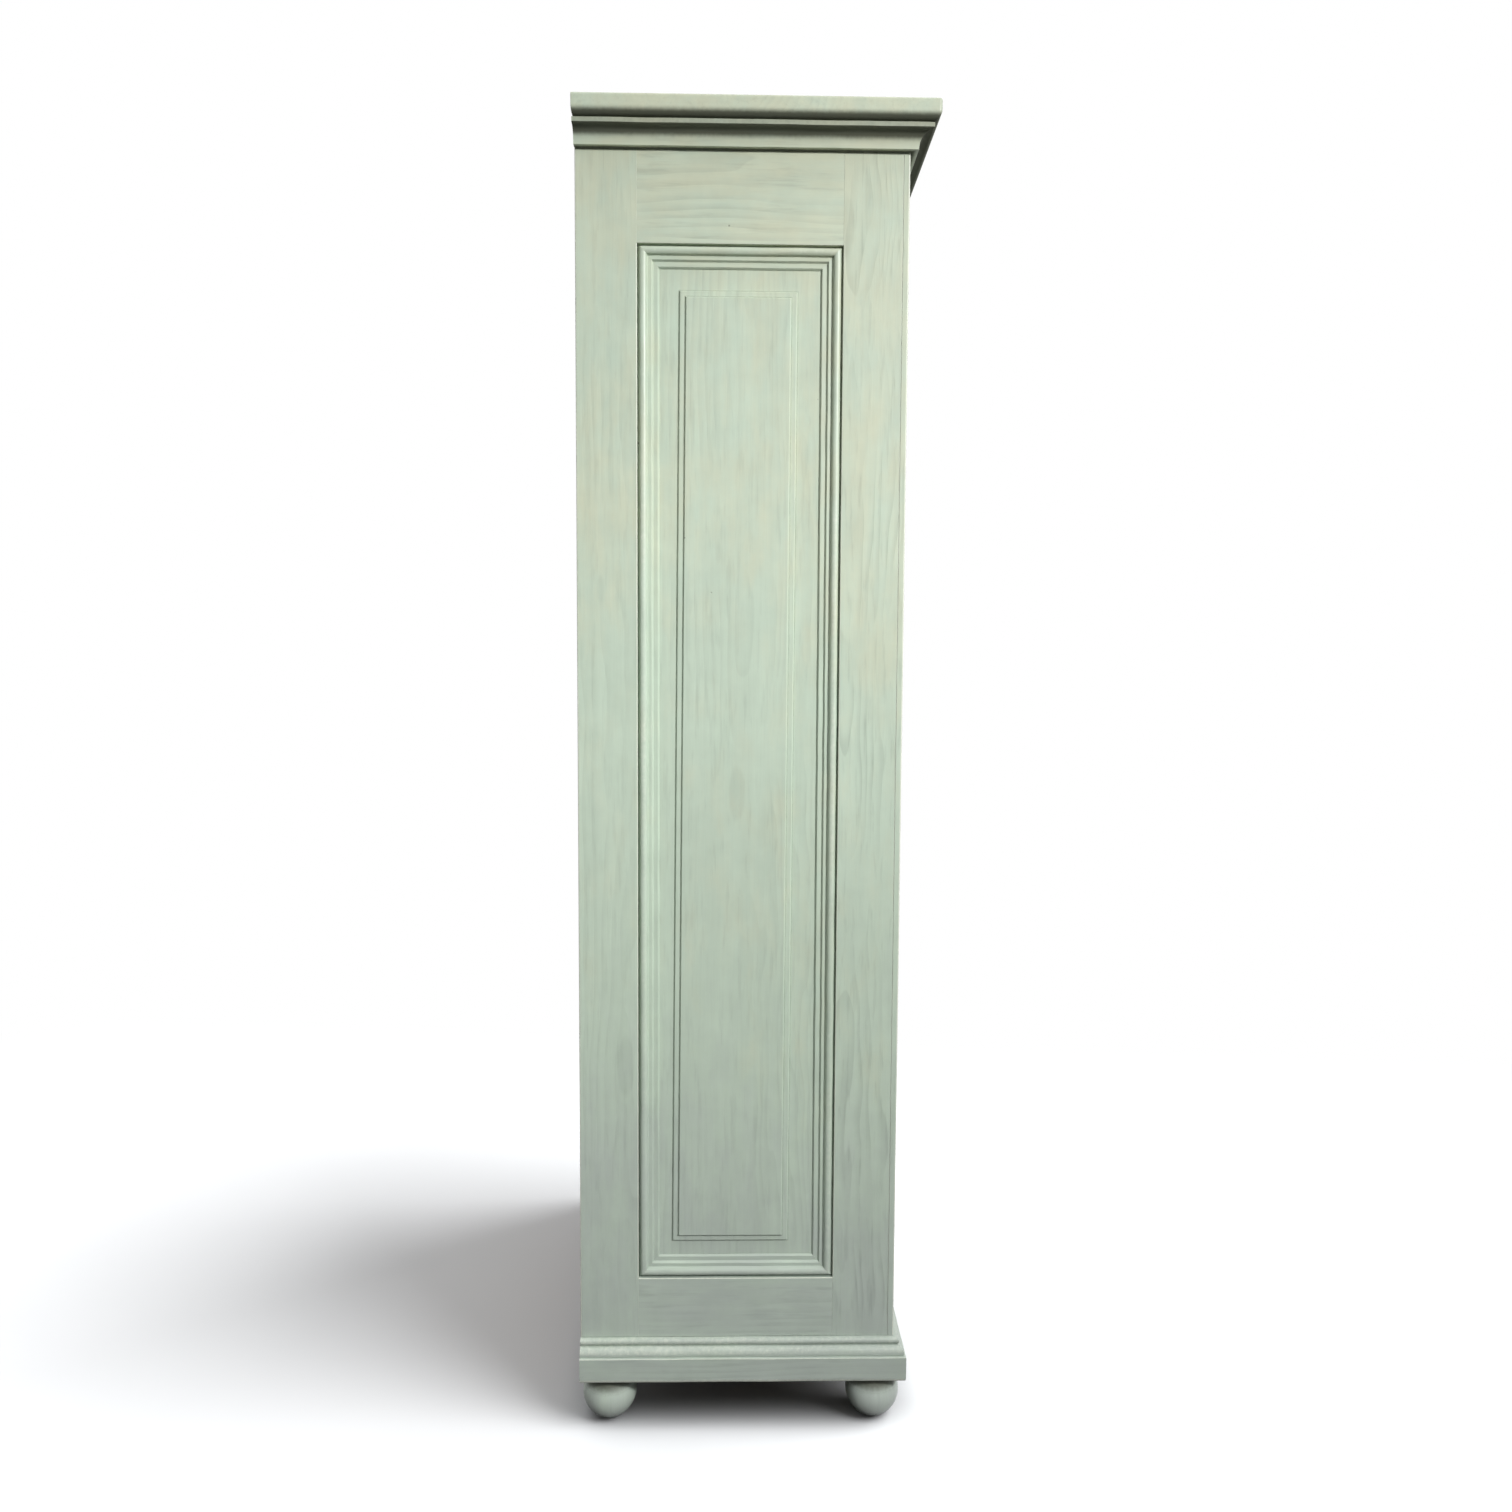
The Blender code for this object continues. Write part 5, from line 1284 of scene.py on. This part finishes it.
def build_studio():
    """Floor, sky, three lamps and the camera."""
    scene = bpy.context.scene
    studio = scene.wardrobe_studio
    scene.view_settings.view_transform = "Standard"
    floor = lay_floor(studio)
    scene.world = paint_sky(studio)

    key = area_lamp("key_lamp", *KEY_LAMP, studio.key_power, studio.key_spread)
    link_lamp(key, [floor], "EXCLUDE")
    foot_lamp = area_lamp("foot_lamp", *FOOT_LAMP, studio.foot_power)
    link_lamp(foot_lamp, [bpy.data.objects[f"{node}_piece"] for node in FEET], "INCLUDE")
    sun = bpy.data.lights.new("floor_lamp", "SUN")
    sun.energy, sun.angle = studio.floor_sun, FLOOR_SUN_WIDTH
    floor_lamp = new_object("floor_lamp", sun)
    floor_lamp.rotation_euler = Vector(FLOOR_SUN).to_track_quat("Z", "Y").to_euler()
    link_lamp(floor_lamp, [floor], "INCLUDE")

    lens = bpy.data.cameras.new("studio_camera")
    lens.lens, lens.sensor_width = studio.lens, SENSOR_WIDTH
    camera = new_object("studio_camera", lens)
    camera.matrix_world = Matrix(CAMERA_FRAME)
    scene.camera = camera


# Operators


class WARDROBE_OT_feet(bpy.types.Operator):
    """Turn the four ball feet"""

    bl_idname = "wardrobe.feet"
    bl_label = "Feet"

    def execute(self, context):
        build_feet()
        return {"FINISHED"}


class WARDROBE_OT_plinth(bpy.types.Operator):
    """Run the moulded plinth round the base"""

    bl_idname = "wardrobe.plinth"
    bl_label = "Plinth"

    def execute(self, context):
        build_plinth()
        return {"FINISHED"}


class WARDROBE_OT_top(bpy.types.Operator):
    """Make the cornice and the top board"""

    bl_idname = "wardrobe.top"
    bl_label = "Cornice and Top"

    def execute(self, context):
        build_cornice()
        build_top_board()
        return {"FINISHED"}


class WARDROBE_OT_side_frames(bpy.types.Operator):
    """Make the stiles and rails of both sides"""

    bl_idname = "wardrobe.side_frames"
    bl_label = "Side Frames"

    def execute(self, context):
        build_side_frames()
        return {"FINISHED"}


class WARDROBE_OT_face_frame(bpy.types.Operator):
    """Make the frame round the door"""

    bl_idname = "wardrobe.face_frame"
    bl_label = "Face Frame"

    def execute(self, context):
        build_face_frame()
        return {"FINISHED"}


class WARDROBE_OT_door_frame(bpy.types.Operator):
    """Make the door's stiles and rails"""

    bl_idname = "wardrobe.door_frame"
    bl_label = "Door Frame"

    def execute(self, context):
        build_door_frame()
        return {"FINISHED"}


class WARDROBE_OT_panels(bpy.types.Operator):
    """Raise the three panels"""

    bl_idname = "wardrobe.panels"
    bl_label = "Panels"

    def execute(self, context):
        build_panels()
        return {"FINISHED"}


class WARDROBE_OT_mouldings(bpy.types.Operator):
    """Mitre the mouldings round the panels"""

    bl_idname = "wardrobe.mouldings"
    bl_label = "Panel Mouldings"

    def execute(self, context):
        build_mouldings()
        return {"FINISHED"}


class WARDROBE_OT_back(bpy.types.Operator):
    """Board up the back"""

    bl_idname = "wardrobe.back"
    bl_label = "Back Boards"

    def execute(self, context):
        build_back()
        return {"FINISHED"}


class WARDROBE_OT_inside(bpy.types.Operator):
    """Fit the shelf, the hanging rail and the floor"""

    bl_idname = "wardrobe.inside"
    bl_label = "Inside"

    def execute(self, context):
        build_inside()
        return {"FINISHED"}


class WARDROBE_OT_fittings(bpy.types.Operator):
    """Fit the hinges, the lock, its key and the fasteners"""

    bl_idname = "wardrobe.fittings"
    bl_label = "Fittings"

    def execute(self, context):
        build_hinges()
        build_key()
        build_lock()
        build_fasteners()
        return {"FINISHED"}


class WARDROBE_OT_studio(bpy.types.Operator):
    """Set up the floor, the light and the camera"""

    bl_idname = "wardrobe.studio"
    bl_label = "Studio"

    def execute(self, context):
        build_studio()
        return {"FINISHED"}


STEPS = (
    WARDROBE_OT_feet,
    WARDROBE_OT_plinth,
    WARDROBE_OT_top,
    WARDROBE_OT_side_frames,
    WARDROBE_OT_face_frame,
    WARDROBE_OT_door_frame,
    WARDROBE_OT_panels,
    WARDROBE_OT_mouldings,
    WARDROBE_OT_back,
    WARDROBE_OT_inside,
    WARDROBE_OT_fittings,
    WARDROBE_OT_studio,
)


class WARDROBE_PT_pieces(bpy.types.Panel):
    """Lists the wardrobe's groups of pieces"""

    bl_idname = "WARDROBE_PT_pieces"
    bl_label = "Narrow Wardrobe"
    bl_space_type = "VIEW_3D"
    bl_region_type = "UI"
    bl_category = "Wardrobe"

    def draw(self, context):
        for step in STEPS:
            self.layout.operator(step.bl_idname)
        for group in GROUPS:
            column = self.layout.column(align=True)
            settings = getattr(context.scene, group)
            for name in settings.__annotations__:
                column.prop(settings, name)


def register():
    """Makes the settings, the operators and the panel known to Blender."""
    for cls in (*GROUPS.values(), *STEPS, WARDROBE_PT_pieces):
        bpy.utils.register_class(cls)
    for name, group in GROUPS.items():
        setattr(bpy.types.Scene, name, PointerProperty(type=group))


def unregister():
    """Takes away all that register adds."""
    for name in GROUPS:
        delattr(bpy.types.Scene, name)
    for cls in reversed((*GROUPS.values(), *STEPS, WARDROBE_PT_pieces)):
        bpy.utils.unregister_class(cls)


def main():
    """Registers the classes and builds each group of pieces in order."""
    register()
    bpy.ops.wardrobe.feet()
    bpy.ops.wardrobe.plinth()
    bpy.ops.wardrobe.top()
    bpy.ops.wardrobe.side_frames()
    bpy.ops.wardrobe.face_frame()
    bpy.ops.wardrobe.door_frame()
    bpy.ops.wardrobe.panels()
    bpy.ops.wardrobe.mouldings()
    bpy.ops.wardrobe.back()
    bpy.ops.wardrobe.inside()
    bpy.ops.wardrobe.fittings()
    bpy.ops.wardrobe.studio()


if __name__ == "__main__":
    main()
